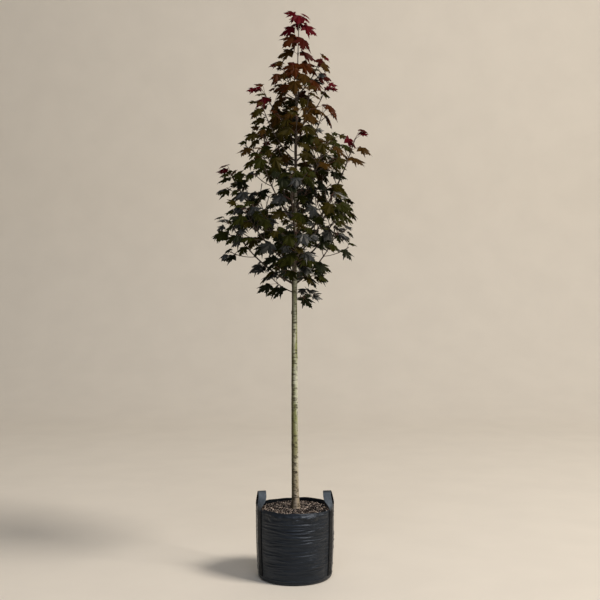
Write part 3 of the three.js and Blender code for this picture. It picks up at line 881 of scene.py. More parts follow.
    def grow_trunk_shoots(self):
        """The short shoots on the trunk that found room for a leaf."""
        for mass in trunk_shoots():
            grown = self.grow_leaves(mass, mass.stem, mass.largest)
            if grown:
                self.room.add(*mass.stem.shape(*TWIG_ROOM), mass.name)
                self.masses.append(mass)
                self.leaves += grown


@functools.cache
def grown_crown(length, stalk_length):
    return Crown(length, stalk_length)


# Making meshes

WELD_GAP = 1e-6


class Pile:
    """Points and faces of many small things that become one mesh."""

    def __init__(self):
        self.points, self.faces, self.finishes, self.count = [], [], [], 0

    def add(self, points, faces, finish=0):
        self.points.append(np.asarray(points, float))
        self.faces += [tuple(i + self.count for i in face) for face in faces]
        self.finishes += [finish] * len(faces)
        self.count += len(points)

    def make(self, name, *materials, smooth_angle=None):
        piece = add_mesh(name, np.vstack(self.points).tolist(), [], self.faces)
        for material in materials:
            piece.data.materials.append(material)
        piece.data.polygons.foreach_set("material_index", self.finishes)
        if smooth_angle:
            smooth(piece, smooth_angle)
        return piece


def add_mesh(name, points, edges, faces):
    """A new piece from its points, edges and faces."""
    mesh = bpy.data.meshes.new(name)
    mesh.from_pydata(points, edges, faces)
    piece = bpy.data.objects.new(name, mesh)
    bpy.context.collection.objects.link(piece)
    return piece


def pick(piece):
    """Makes one piece the only selected and the active one."""
    bpy.ops.object.select_all(action="DESELECT")
    piece.select_set(True)
    bpy.context.view_layer.objects.active = piece


def smooth(piece, degrees):
    """Shades a piece smooth, apart from its edges that are sharper than an angle."""
    pick(piece)
    bpy.ops.object.shade_smooth_by_angle(angle=math.radians(degrees))


def add_grid(name, columns, rows):
    """A flat square grid, added alone, with the row of each of its points and their places across it."""
    bpy.ops.object.select_all(action="DESELECT")
    bpy.ops.mesh.primitive_grid_add(x_subdivisions=columns, y_subdivisions=rows - 1, size=1)
    piece = bpy.context.object
    piece.name = piece.data.name = name
    flat = vertices_of(piece)
    return piece, np.rint((flat[:, 1] + 0.5) * (rows - 1)).astype(int), flat[:, 0]


def vertices_of(piece):
    points = np.empty(len(piece.data.vertices) * 3)
    piece.data.vertices.foreach_get("co", points)
    return points.reshape(-1, 3)


def set_vertices(piece, points):
    piece.data.vertices.foreach_set("co", np.asarray(points, float).ravel())
    piece.data.update()


def turn_profile(name, profile, steps):
    """A closed shell of revolution: a line of radius and height points from axis to axis, spun round."""
    points = [(radius, 0, height) for radius, height in profile]
    piece = add_mesh(name, points, [(i, i + 1) for i in range(len(points) - 1)], [])
    pick(piece)
    bpy.ops.object.mode_set(mode="EDIT")
    bpy.ops.mesh.select_all(action="SELECT")
    bpy.ops.mesh.spin(steps=steps, angle=TURN, center=(0, 0, 0), axis=(0, 0, 1))
    bpy.ops.mesh.select_all(action="SELECT")
    bpy.ops.mesh.remove_doubles(threshold=WELD_GAP)
    bpy.ops.mesh.normals_make_consistent(inside=False)
    bpy.ops.object.mode_set(mode="OBJECT")
    return piece


def apply_modifier(piece, kind, **settings):
    pick(piece)
    modifier = piece.modifiers.new(kind.title(), kind)
    for name, value in settings.items():
        setattr(modifier, name, value)
    bpy.ops.object.modifier_apply(modifier=modifier.name)


def finish_piece(piece, slot, *nodes):
    """Sets a piece on the part's body, in place of CAD nodes. The slot is not used."""
    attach(piece, BODY)
    if nodes:
        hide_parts(*nodes)


def write_flat_map(piece, name, across, up):
    """A UV map in metres from two values per vertex."""
    corners = np.empty(len(piece.data.loops), int)
    piece.data.loops.foreach_get("vertex_index", corners)
    layer = piece.data.uv_layers.new(name=name)
    layer.data.foreach_set("uv", np.column_stack([across[corners], up[corners]]).ravel())


# Making materials

PLASTIC_IOR = 1.49
BARK_IOR = 1.5
LEAF_IOR = 1.46
# A wave texture has this many metres from crest to crest at scale 1.
WAVE_LENGTH = TURN / 20


def add_node(material, kind, inputs, **settings):
    """Adds a shader node with its settings, and sets or links its inputs."""
    tree = material.node_tree
    node = tree.nodes.new(f"ShaderNode{kind}")
    for name, value in settings.items():
        setattr(node, name, value)
    for name, value in inputs.items():
        if isinstance(value, bpy.types.NodeSocket):
            tree.links.new(value, node.inputs[name])
        else:
            node.inputs[name].default_value = value
    return node.outputs


def new_material(name, ior, **sockets):
    """A material, its shader with the values that are even all over, and the way to add nodes to it."""
    material = bpy.data.materials.new(name)
    material.use_nodes = True
    shader = material.node_tree.nodes["Principled BSDF"]
    shader.inputs["IOR"].default_value = ior
    for socket, value in sockets.items():
        shader.inputs[socket.replace("_", " ")].default_value = value
    return material, shader, functools.partial(add_node, material)


def join(material, shader, **outputs):
    """Links outputs to the shader's sockets."""
    for socket, output in outputs.items():
        material.node_tree.links.new(output, shader.inputs[socket.replace("_", " ")])


def per_metre(millimetres):
    """The scale of a noise whose grains are this large."""
    return 1000 / millimetres


def opaque(colour):
    return (*colour, 1.0)


def dimmed(colour, part):
    return [channel * part for channel in colour]


def woven_polypropylene(settings):
    """Flat slit tapes of black plastic, woven over and under: satin, with painted shade in the troughs of its
    ripples and painted light on their crests, and a blue tint painted into its gloss for the sky.
    """
    # The gloss is tinted blue as a painted reflection of the sky.
    sheen = {"Specular_IOR_Level": 0.6, "Specular_Tint": opaque(settings.sky)}
    material, shader, node = new_material("woven_polypropylene", PLASTIC_IOR, **sheen)
    flat = node("UVMap", {}, uv_map="cloth")["UV"]
    tape = 0.0035  # tapes are drawn a little wider than the usual 2.5 mm, so that they show
    checks = node("TexChecker", {"Vector": flat, "Scale": 1 / tape})["Fac"]
    creases = (7, 95, 1)  # so many to a metre: long across the wall and narrow up it
    drawn_out = node("Mapping", {"Vector": flat, "Scale": creases})["Vector"]
    streaks = node("TexNoise", {"Vector": drawn_out, "Scale": 1.0, "Detail": 4.0})["Fac"]
    cast = node("TexNoise", {"Vector": flat, "Scale": per_metre(90), "Detail": 3.0})["Fac"]
    # Painted light and shade: the streaks that raise the ripples also make their crests lighter and their
    # troughs darker.
    shade = node("MapRange", {"Value": streaks, "From Min": 0.3, "From Max": 0.7})["Result"]
    dark, lit = opaque(settings.cloth_ripple_shade), opaque(settings.cloth)
    cloth = node("Mix", {0: shade, 6: dark, 7: lit}, data_type="RGBA")[2]
    worn = {"Value": cast, "From Min": 0.45, "From Max": 0.75, "To Max": 0.6}
    worn = node("MapRange", worn)["Result"]
    colour = node("Mix", {0: worn, 6: cloth, 7: lit}, data_type="RGBA")[2]
    rough = {"Value": streaks, "From Min": 0.3, "From Max": 0.7, "To Min": 0.4, "To Max": 0.27}
    rough = node("MapRange", rough)["Result"]
    tapes = {"Vector": flat, "Scale": WAVE_LENGTH / tape}
    warp, weft = (node("TexWave", tapes, bands_direction=direction)["Fac"] for direction in "XY")
    weave = node("Mix", {0: checks, 2: warp, 3: weft})[0]
    bump = node("Bump", {"Height": weave, "Strength": 0.35, "Distance": 0.0006})["Normal"]
    ripples = {"Height": streaks, "Strength": 0.8, "Distance": 0.006, "Normal": bump}
    ripples = node("Bump", ripples)["Normal"]
    join(material, shader, Base_Color=colour, Roughness=rough, Normal=ripples)
    return material


def webbing(settings):
    """Ribbed plastic webbing: dull, with raised cords and painted shade between them, and a painted blue-grey
    sheen at the front of the loops.
    """
    # The gloss is tinted blue as a painted reflection of the sky.
    sheen = {"Specular_IOR_Level": 0.22, "Specular_Tint": opaque(settings.sky)}
    material, shader, node = new_material("polypropylene_webbing", PLASTIC_IOR, **sheen)
    flat = node("UVMap", {}, uv_map="webbing")["UV"]
    rib, pick_gap = 0.004, 0.003  # drawn wider than the usual 2 mm, so that they show
    ribs = node("TexWave", {"Vector": flat, "Scale": WAVE_LENGTH / rib}, bands_direction="X")["Fac"]
    picks = node("TexWave", {"Vector": flat, "Scale": WAVE_LENGTH / pick_gap}, bands_direction="Y")["Fac"]
    wear = node("TexNoise", {"Vector": flat, "Scale": per_metre(18), "Detail": 4.0})["Fac"]
    cords = node("Math", {0: ribs, 1: picks}, operation="MULTIPLY")["Value"]
    raised = node("MapRange", {"Value": cords, "From Max": 0.8})["Result"]
    # Painted shade: the colour is darker between the raised cords, where shade falls, and lighter on the
    # cords.
    dark, lit = opaque(settings.strap_dark), opaque(settings.strap)
    legs = node("Mix", {0: raised, 6: dark, 7: lit}, data_type="RGBA")[2]
    place = node("TexCoord", {})["Object"]
    parts = node("SeparateXYZ", {"Vector": place})
    low, high = BAG_HEIGHT - 0.01, BAG_HEIGHT + 0.02
    loop = {"Value": parts["Z"], "From Min": low, "From Max": high, "To Max": 0.85}
    loop = node("MapRange", loop)["Result"]
    # Painted light: the front of the loops turns a lighter blue-grey as if lit by the sky, and their back
    # stays dark.
    front = node("MapRange", {"Value": parts["Y"], "From Min": -0.02, "From Max": -0.045})["Result"]
    sheen_painted = node("Math", {0: loop, 1: front}, operation="MULTIPLY")["Value"]
    pale = opaque(settings.strap_faded)
    ribbed = node("Mix", {0: sheen_painted, 6: legs, 7: pale}, data_type="RGBA")[2]
    worn = {"Value": wear, "From Min": 0.4, "From Max": 0.75, "To Max": 0.45}
    worn = node("MapRange", worn)["Result"]
    colour = node("Mix", {0: worn, 6: ribbed, 7: lit}, data_type="RGBA")[2]
    rough = {"Value": wear, "From Min": 0.3, "From Max": 0.7, "To Min": 0.6, "To Max": 0.45}
    rough = node("MapRange", rough)["Result"]
    bump = node("Bump", {"Height": cords, "Strength": 0.6, "Distance": 0.0008})["Normal"]
    join(material, shader, Base_Color=colour, Roughness=rough, Normal=bump)
    return material


def spotted(name, colour, shade, grain, rough, bump=0.0005):
    """A natural surface of a colour and its shade in soft blotches, with a fine grain in its gloss."""
    material, shader, node = new_material(name, BARK_IOR)
    place = node("TexCoord", {})["Object"]
    blotch = node("TexNoise", {"Vector": place, "Scale": per_metre(grain), "Detail": 5.0})["Fac"]
    fine = node("TexNoise", {"Vector": place, "Scale": per_metre(grain / 6), "Detail": 3.0})["Fac"]
    part = node("MapRange", {"Value": blotch, "From Min": 0.35, "From Max": 0.65})["Result"]
    mixed = node("Mix", {0: part, 6: opaque(colour), 7: opaque(shade)}, data_type="RGBA")[2]
    least, most = rough - 0.06, rough + 0.06
    gloss = {"Value": fine, "From Min": 0.3, "From Max": 0.7, "To Min": least, "To Max": most}
    gloss = node("MapRange", gloss)["Result"]
    normal = node("Bump", {"Height": fine, "Strength": 0.5, "Distance": bump})["Normal"]
    join(material, shader, Base_Color=mixed, Roughness=gloss, Normal=normal)
    return material


def trunk_bark(settings):
    """Thin young bark: silvery grey-green with algae, brown at the foot, dark pores and old cuts."""
    material, shader, node = new_material("young_maple_bark", BARK_IOR, Specular_IOR_Level=0.3)
    place = node("TexCoord", {})["Object"]
    upright, level = (1, 1, 0.22), (1, 1, 3.2)
    long_place = node("Mapping", {"Vector": place, "Scale": upright})["Vector"]
    flat_place = node("Mapping", {"Vector": place, "Scale": level})["Vector"]
    patch = node("TexNoise", {"Vector": long_place, "Scale": per_metre(30), "Detail": 4.0})["Fac"]
    lines = node("TexNoise", {"Vector": flat_place, "Scale": per_metre(24), "Detail": 5.0})["Fac"]
    height = node("SeparateXYZ", {"Vector": place})["Z"]
    mark = node("Attribute", {}, attribute_name="mark")["Fac"]
    # Painted shade down the left side of the trunk.
    shaded = node("Attribute", {}, attribute_name="damp")["Fac"]
    algae = node("MapRange", {"Value": patch, "From Min": 0.40, "From Max": 0.58})["Result"]
    foot = {"Value": height, "From Min": GROUND + 0.45, "From Max": GROUND, "To Max": 0.8}
    foot = node("MapRange", foot)["Result"]
    # Among the leaves the bark turns pinker and darker: young bark, with painted shade of the crown.
    crown = node("MapRange", {"Value": height, "From Min": CROWN_BASE, "From Max": 2.1})["Result"]
    stain = {"Value": lines, "From Min": 0.5, "From Max": 0.64, "To Max": 0.85}
    stain = node("MapRange", stain)["Result"]
    colour = opaque(settings.grey)
    layers = [(algae, settings.green), (foot, settings.brown), (crown, settings.high)]
    layers += [(shaded, settings.damp), (stain, settings.mark), (mark, settings.mark)]
    for part, over in layers:
        colour = node("Mix", {0: part, 6: colour, 7: opaque(over)}, data_type="RGBA")[2]
    rough = {"Value": patch, "From Min": 0.3, "From Max": 0.7, "To Min": 0.6, "To Max": 0.8}
    rough = node("MapRange", rough)["Result"]
    normal = node("Bump", {"Height": lines, "Strength": 0.6, "Distance": 0.0008})["Normal"]
    join(material, shader, Base_Color=colour, Roughness=rough, Normal=normal)
    return material


def leaf_side(name, colour, rough, gloss):
    """One side of a leaf in one plain colour: waxy, with a fine net of veins in its gloss and relief."""
    sockets = {"Base_Color": opaque(colour), "Specular_IOR_Level": gloss}
    material, shader, node = new_material(name, LEAF_IOR, **sockets)
    place = node("TexCoord", {})["Object"]
    net = {"Vector": place, "Scale": per_metre(9)}  # drawn wider than the usual 3 mm, so that it shows
    net = node("TexVoronoi", net, feature="DISTANCE_TO_EDGE")["Distance"]
    vein = node("MapRange", {"Value": net, "From Max": 0.12})["Result"]
    wax = node("MapRange", {"Value": vein, "To Min": rough + 0.12, "To Max": rough})["Result"]
    normal = node("Bump", {"Height": vein, "Strength": 0.4, "Distance": 0.0005})["Normal"]
    join(material, shader, Roughness=wax, Normal=normal)
    return material


# Planting bag

# Folds that stand out at the front:
# angle from the front, height, half length, rise at both ends, depth and width
FRONT_FOLDS = [
    (0.02, 0.262, 0.72, 0.013, 0.0042, 0.0030),
    (0.62, 0.292, 0.42, 0.004, 0.0036, 0.0034),
    (0.10, 0.238, 0.55, 0.006, 0.0020, 0.0040),
    (0.35, 0.148, 0.50, -0.004, 0.0026, 0.0036),
    (0.12, 0.078, 0.45, 0.003, 0.0024, 0.0045),
    (-0.42, 0.126, 0.30, -0.003, 0.0020, 0.0034),
    (0.45, 0.112, 0.35, 0.004, 0.0024, 0.0036),
    (-0.20, 0.341, 0.12, -0.006, 0.0060, 0.0050),
    (-0.02, 0.337, 0.10, 0.007, 0.0058, 0.0052),
    (0.15, 0.342, 0.11, -0.007, 0.0062, 0.0050),
    (0.33, 0.337, 0.12, 0.006, 0.0056, 0.0048),
    (0.55, 0.341, 0.13, -0.005, 0.0050, 0.0046),
    (-0.42, 0.338, 0.12, 0.004, 0.0044, 0.0044),
    (0.06, 0.326, 0.16, 0.005, 0.0036, 0.0040),
    (0.42, 0.324, 0.20, 0.006, 0.0038, 0.0040),
]
FOLD_SEED = 41
FOLD_COUNT = 250
PUCKER_COUNT = 90
PUCKER_DEPTH = 0.0026
FOLDS_FROM = 0.03
SAG_DEPTH = 0.0022
SWAY_DEPTH = 0.0012
HEM_STEP = 0.0011
HEM_EDGE = 0.0009
FOOT_SEAM = 0.0028
FOOT_SEAM_HEIGHT = 0.021
FOOT_SEAM_WIDTH = 0.0026
CLOTH_SLACK = 0.0016
RIM_ROLL = 0.0075
RIM_ROLL_DEPTH = 0.014
RIM_DIP_DEPTH = 0.06
STRAP_HOLD = 2.2
BAG_STEPS = 240
WALL_RINGS = 220
INNER_RINGS = 12
INNER_SHIFT = (-0.0085, 0.003)
STITCH_STEP = 0.009
STITCH_SHARE = 0.62
STITCH_THICK = 0.0011
STITCH_PROUD = 0.0002
HEM_ROWS = (0.004, 0.009)
FOOT_ROW = 0.028
BACK_ROWS = (-0.02, 0.02)
BACK_ROW_FOOT = 0.035


def wall_radius(height):
    """The plain drum's radius at a height or heights."""
    low = 1 - np.clip(height, 0, BAG_HEIGHT) / BAG_HEIGHT
    return BAG_RIM_RADIUS - (BAG_RIM_RADIUS - BAG_FOOT_RADIUS) * low**BAG_TAPER_POWER


@functools.cache
def bag_folds():
    """Every fold of the cloth, with short puckers on the hem."""
    draw = np.random.default_rng(FOLD_SEED)
    folds = list(FRONT_FOLDS)
    for _ in range(FOLD_COUNT):
        angle, depth = draw.uniform(-math.pi, math.pi), draw.uniform(0.0008, 0.0027)
        width, height = draw.uniform(0.0019, 0.003), draw.uniform(0.04, 0.315)
        folds.append((angle, height, draw.uniform(0.12, 0.6), draw.normal(0, 0.005), depth, width))
    for _ in range(PUCKER_COUNT):
        angle, width = draw.uniform(-math.pi, math.pi), draw.uniform(0.0035, 0.007)
        height, half = draw.uniform(0.318, 0.350), draw.uniform(0.04, 0.14)
        folds.append((angle, height, half, draw.normal(0, 0.004), PUCKER_DEPTH, width))
    return folds


def strap_cover(angle, settings):
    """1 where a strap holds the cloth flat, 0 away from it, by the angle round the bag."""
    half_width = settings.strap_width / 2 / BAG_RIM_RADIUS
    cover = np.zeros_like(angle)
    for handle in HANDLES.values():
        for leg in (-1, 1):
            off = np.abs(wrapped(angle - handle["bearing"] - leg * HANDLE_SPREAD))
            cover = np.maximum(cover, np.clip(STRAP_HOLD - off / half_width, 0, 1))
    return cover


def cloth_radius(angle, height, settings):
    """The outside of the cloth at angles round the bag and heights."""
    from_front = wrapped(angle + math.pi / 2)
    relief = np.zeros(np.broadcast(angle, height).shape)
    for centre, level, half, rise, depth, width in bag_folds():
        along = wrapped(from_front - centre) / half
        end = np.clip(1 - along**2, 0, 1)
        relief += depth * end * bell((height - level - rise * along**2) / width)
    sag = SAG_DEPTH * np.sin(3 * angle + 0.7) * np.sin(height * 9)
    sway = SWAY_DEPTH * np.sin(5 * angle + 11 * height)
    hem = HEM_STEP / (1 + np.exp(-(height - BAG_HEIGHT + settings.hem) / HEM_EDGE))
    foot = FOOT_SEAM * bell((height - FOOT_SEAM_HEIGHT) / FOOT_SEAM_WIDTH)
    roll = RIM_ROLL * np.exp((height - BAG_HEIGHT) / RIM_ROLL_DEPTH)
    loose = np.clip(height / FOLDS_FROM, 0, 1) * settings.wrinkle
    free = 1 - strap_cover(angle, settings)
    return wall_radius(height) + free * ((relief + sag + sway) * loose + hem + foot - CLOTH_SLACK - roll)


def rim_height(angle):
    """How far the slack rim rises and dips round the bag."""
    return 0.0022 * np.sin(2 * angle + 0.4) + 0.0016 * np.sin(5 * angle + 1.9) + 0.0009 * np.sin(11 * angle)


def near_rim(height):
    """1 at the rim, falling to 0 where its dips end."""
    return np.clip((height - BAG_HEIGHT + RIM_DIP_DEPTH) / RIM_DIP_DEPTH, 0, 1) ** 2


def bag_profile():
    """Radius and height from the middle of the underside, up the outside, over the rim and down inside."""
    flat, half = wall_radius(BAG_CORNER) - BAG_CORNER, BAG_CLOTH / 2
    floor = [(flat * part, 0) for part in (0, 0.3, 0.6, 0.85)]
    corner = np.linspace(0, math.pi / 2, 6, endpoint=False)
    foot = [(flat + BAG_CORNER * math.sin(a), BAG_CORNER * (1 - math.cos(a))) for a in corner]
    shoulder = BAG_HEIGHT - half
    wall = [(wall_radius(h), h) for h in np.linspace(BAG_CORNER, shoulder, WALL_RINGS)]
    bend = (0.8, 1.6, 2.4)
    rim = [(BAG_RIM_RADIUS - half * (1 - math.cos(a)), shoulder + half * math.sin(a)) for a in bend]
    down = np.linspace(BAG_HEIGHT - 0.002, BAG_CORNER, INNER_RINGS)
    inside = [(wall_radius(h) - BAG_CLOTH, h) for h in down]
    lining = [(flat, BAG_CLOTH), (flat * 0.5, BAG_CLOTH), (0, BAG_CLOTH)]
    return [*floor, *foot, *wall, *rim, *inside, *lining]


def shape_cloth(piece, settings):
    """Folds, seams and the slack rim of the bag, and the flat map of its weave."""
    x, y, height = vertices_of(piece).T
    angle, radius = np.arctan2(y, x), np.hypot(x, y)
    plain = wall_radius(height)
    wall = height > BAG_CORNER - WELD_GAP
    shift = (cloth_radius(angle, height, settings) - plain) * wall
    # The inner face stays inside the outer one, clear of the mulch.
    inner = wall & (radius < plain - BAG_CLOTH * 0.6)
    shift[inner] = np.clip(shift[inner], *INNER_SHIFT)
    moved = radius + shift
    lift = rim_height(angle) * near_rim(height) * (1 - strap_cover(angle, settings))
    set_vertices(piece, np.column_stack([moved * np.cos(angle), moved * np.sin(angle), height + lift]))
    write_flat_map(piece, "cloth", angle * BAG_RIM_RADIUS, np.where(wall, height, radius))
    mend_map_seam(piece, "cloth", TURN * BAG_RIM_RADIUS)


def mend_map_seam(piece, name, round_length):
    """Brings the corners of faces across the back of a round map to the same side."""
    layer = piece.data.uv_layers[name]
    flat = np.empty(len(layer.data) * 2)
    layer.data.foreach_get("uv", flat)
    flat = flat.reshape(-1, 2)
    for face in piece.data.polygons:
        corners = slice(face.loop_start, face.loop_start + face.loop_total)
        u = flat[corners, 0]
        if u.max() - u.min() > round_length / 2:
            u[u < 0] += round_length
    layer.data.foreach_set("uv", flat.ravel())


def stitch(pile, start, end, out, thick):
    """One short stitch between two points, standing out of the cloth."""
    sunk, raised = -0.4 * thick, 0.3 * thick
    runs = [(0, sunk), (0.22, raised), (0.78, raised), (1, sunk)]
    centres = [lerp(start, end, part) + out * height for part, height in runs]
    pile.add(*tube_shape(centres, np.array([0.4, 1, 1, 0.4]) * thick / 2, 5, out))


def wall_point(angle, height, settings):
    """A point just proud of the outside of the cloth, and the way out of it."""
    radius = float(cloth_radius(np.array([angle]), np.array([height]), settings)[0])
    out = bearing_vector(angle)
    lift = float(rim_height(angle) * near_rim(height))
    return out * (radius + STITCH_PROUD) + UP * (height + lift), out


def bag_stitching(settings):
    """Two rows round the hem, one at the foot seam, and two rows down the joint at the back."""
    pile = Pile()
    hem = BAG_HEIGHT - settings.hem
    turns = np.arange(int(TURN * BAG_RIM_RADIUS / STITCH_STEP))
    step = TURN / len(turns)
    free = strap_cover(turns * step, settings) <= 0.9
    stitches = []
    for height in (*[hem + up for up in HEM_ROWS], FOOT_ROW):
        for angle in turns[free] * step:
            stitches.append(((angle, height), (angle + STITCH_SHARE * step, height)))
    for height in np.arange(BACK_ROW_FOOT, hem, STITCH_STEP):
        for side in BACK_ROWS:
            angle = math.pi / 2 + side
            stitches.append(((angle, height), (angle, height + STITCH_STEP * STITCH_SHARE)))
    for first, second in stitches:
        start, out = wall_point(*first, settings)
        end, _ = wall_point(*second, settings)
        stitch(pile, start, end, out, STITCH_THICK)
    return pile


class PlantingBag(bpy.types.Operator):
    """Makes the wrinkled cloth bag with its hem, seams and stitching"""

    bl_idname = "maple.bag"
    bl_label = "Planting Bag"

    def execute(self, context):
        settings = context.scene.maple_bag
        cloth = turn_profile("bag_cloth", bag_profile(), BAG_STEPS)
        shape_cloth(cloth, settings)
        cloth.data.materials.append(woven_polypropylene(settings))
        smooth(cloth, 60)
        finish_piece(cloth, "woven_cloth", "planting_bag")
        thread = spotted("polyester_thread", settings.thread, dimmed(settings.thread, 0.7), 4, 0.55)
        stitching = bag_stitching(settings).make("bag_stitching", thread, smooth_angle=50)
        finish_piece(stitching, "webbing")
        return {"FINISHED"}


# Handles

LEG_ROWS = 90
LOOP_ROWS = 66
LOOP_LEAN = 0.02
FULL_TWIST = 0.9
STRAP_COLUMNS = 8
STRAP_STITCH_THICK = 0.0013
STRAP_STITCH_EDGE = 0.004
STITCH_BOX_HEIGHT = 0.042
STITCH_BOXES = (STRAP_FOOT + 0.006, BAG_HEIGHT - 0.052)


def strap_stations(handle):
    """Turn, height, twist and lean along a strap: up one leg, over the loop and down the other leg."""
    rising = [(-HANDLE_SPREAD, h, 0.0, 0.0) for h in np.linspace(STRAP_FOOT, BAG_HEIGHT, LEG_ROWS)]
    loop = []
    for angle in np.linspace(0, math.pi, LOOP_ROWS)[1:-1]:
        up = math.sin(angle)
        part = min(1, up / FULL_TWIST)
        twist = HANDLE_TWIST * part * part * (3 - 2 * part)
        lean = LOOP_LEAN * math.sin(twist) + handle["tilt"] * up * up
        loop.append((-HANDLE_SPREAD * math.cos(angle), BAG_HEIGHT + HANDLE_RISE * up, twist, lean))
    falling = [(-turn, height, twist, lean) for turn, height, twist, lean in reversed(rising)]
    return [*rising, *loop, *falling]


class Strap:
    """A handle's strap, read by its station, the offset across it and the height out of it."""

    def __init__(self, handle, settings):
        self.handle, self.stations = handle, strap_stations(handle)
        half = STRAP_STANDOFF + settings.strap_thick / 2
        centres = []
        for turn, height, _, lean in self.stations:
            out = bearing_vector(handle["bearing"] + turn)
            centres.append(out * (float(wall_radius(height)) + half - lean) + UP * height)
        self.centres = np.array(centres)
        along = np.gradient(self.centres, axis=0)
        self.along = along / np.linalg.norm(along, axis=1, keepdims=True)
        gaps = np.linalg.norm(np.diff(self.centres, axis=0), axis=1)
        self.run = np.concatenate([[0], np.cumsum(gaps)])

    def point(self, i, offset, proud):
        """A point at a station, and the way out of the strap's face there."""
        turn, _, twist, _ = self.stations[i]
        centre, along = self.centres[i], self.along[i]
        if twist == 0:
            radius = math.hypot(centre[0], centre[1])
            out = bearing_vector(self.handle["bearing"] + turn - np.sign(turn) * offset / radius)
            return out * (radius + proud) + UP * centre[2], out
        outward = bearing_vector(self.handle["bearing"] + turn) + UP * self.handle["tilt"] / HANDLE_RISE
        outward = square(outward, along)
        face = outward * math.cos(twist) + np.cross(outward, along) * math.sin(twist)
        return centre + np.cross(along, face) * offset + face * proud, face

    def stitch(self, pile, first, second, proud, reach=1.0):
        """A stitch from one station and offset towards another."""
        start, out = self.point(*first, proud)
        end, _ = self.point(*second, proud)
        stitch(pile, start, lerp(start, end, reach), out, STRAP_STITCH_THICK)


def strap_piece(name, strap, settings):
    """A strap with rounded edges, from a flat grid set along its stations and given its thickness."""
    piece, row, across = add_grid(name, STRAP_COLUMNS, len(strap.stations))
    offset = across * settings.strap_width
    set_vertices(piece, [strap.point(i, o, 0.0)[0] for i, o in zip(row, offset)])
    piece.data.uv_layers.remove(piece.data.uv_layers[0])
    write_flat_map(piece, "webbing", offset, strap.run[row])
    apply_modifier(piece, "SOLIDIFY", thickness=settings.strap_thick, offset=0.0)
    apply_modifier(piece, "BEVEL", width=settings.strap_thick * 0.3, segments=2, limit_method="ANGLE")
    smooth(piece, 40)
    return piece


def strap_stitching(pile, strap, settings):
    """A row along each edge of both legs, with a crossed box at the foot and under the rim."""
    half = settings.strap_width / 2 - STRAP_STITCH_EDGE
    proud = settings.strap_thick / 2
    low, high = STRAP_FOOT + STRAP_STITCH_EDGE, BAG_HEIGHT - 0.006
    legs = [i for i, (_, h, twist, _) in enumerate(strap.stations) if twist == 0 and low < h < high]
    for i in legs[::2]:
        for offset in (-half, half):
            if i + 1 < len(strap.stations) and strap.stations[i + 1][2] == 0:
                strap.stitch(pile, (i, offset), (i + 1, offset), proud, 1.4)
    for foot in STITCH_BOXES:
        for leg in (-1, 1):
            rows = [i for i in legs if np.sign(strap.stations[i][0]) == leg]
            rows = [i for i in rows if foot <= strap.stations[i][1] <= foot + STITCH_BOX_HEIGHT]
            stitch_box(pile, strap, rows, half - STRAP_STITCH_EDGE, proud)


def stitch_box(pile, strap, rows, half, proud):
    """The two crossing rows and the two ends of a sewn box."""
    count = len(rows) - 1
    for k in range(0, count, 2):
        for flip in (-1, 1):
            near, far = (flip * lerp(-half, half, i / count) for i in (k, k + 1))
            strap.stitch(pile, (rows[k], near), (rows[k + 1], far), proud, 1.3)
    for row in (rows[0], rows[-1]):
        for offset in np.linspace(-half, half, 6)[:-1]:
            strap.stitch(pile, (row, offset), (row, offset + half * 0.27), proud)


class WebbingHandles(bpy.types.Operator):
    """Makes the two webbing handles and the thread that holds them"""

    bl_idname = "maple.handles"
    bl_label = "Webbing Handles"

    def execute(self, context):
        settings = context.scene.maple_bag
        material = webbing(settings)
        thread = Pile()
        for name, handle in HANDLES.items():
            strap = Strap(handle, settings)
            piece = strap_piece(f"strap_{name}", strap, settings)
            piece.data.materials.append(material)
            finish_piece(piece, "webbing", f"handle_{name}")
            strap_stitching(thread, strap, settings)
        finish = spotted("strap_thread", settings.thread, dimmed(settings.thread, 0.6), 4, 0.6)
        finish_piece(thread.make("strap_stitching", finish, smooth_angle=50), "webbing")
        return {"FINISHED"}


# Mulch

MULCH_SEED = 23
MULCH_RADIUS = BAG_RIM_RADIUS - 0.0075
MULCH_EDGE_DROP = 0.006
MULCH_FLAT_RADIUS = 0.07
MULCH_SINK = 0.004
LUMP_HEIGHT = 0.0022
BED_DEPTH = 0.06
BED_RINGS = 46
BED_STEPS = 120
CHIP_SIDES = 6
CHIP_TILT = 0.32
CHIP_SPREAD = 0.32
RIM_GAP = 0.004
# Kinds of chips: share of all, size and how high they lie
CHIP_KINDS = {"dark": (0.58, 1.2, 0.0005), "brown": (0.23, 1.0, 0.0015), "pale": (0.19, 0.66, 0.003)}


def mulch_height(x, y):
    """The top of the bed: a low mound with lumps."""
    fall = (np.hypot(x, y) - MULCH_FLAT_RADIUS) / (MULCH_RADIUS - MULCH_FLAT_RADIUS)
    lumps = np.sin(61 * x + 1.3) * np.sin(57 * y + 0.4) + 0.6 * np.sin(131 * x + 97 * y)
    return GROUND - MULCH_EDGE_DROP * np.clip(fall, 0, 1) - MULCH_SINK + LUMP_HEIGHT * lumps


def chip_shape(draw, length):
    """A flake of bark: a lopsided six-sided slab."""
    sides = CHIP_SIDES
    angles = (np.arange(sides) + draw.uniform(-0.3, 0.3, sides)) * TURN / sides
    reach = draw.uniform(0.7, 1.1, sides)
    width = length * draw.uniform(0.4, 0.75)
    thick = length * draw.uniform(0.16, 0.36)
    ring = np.column_stack([np.cos(angles) * reach * length / 2, np.sin(angles) * reach * width / 2])
    low = np.column_stack([ring, draw.uniform(-0.6, -0.4, sides) * thick])
    high = np.column_stack([ring * draw.uniform(0.72, 0.95), draw.uniform(0.3, 0.7, sides) * thick])
    walls = [(i, (i + 1) % sides, sides + (i + 1) % sides, sides + i) for i in range(sides)]
    ends = [tuple(reversed(range(sides))), tuple(range(sides, 2 * sides))]
    return np.vstack([low, high]), [*ends, *walls]


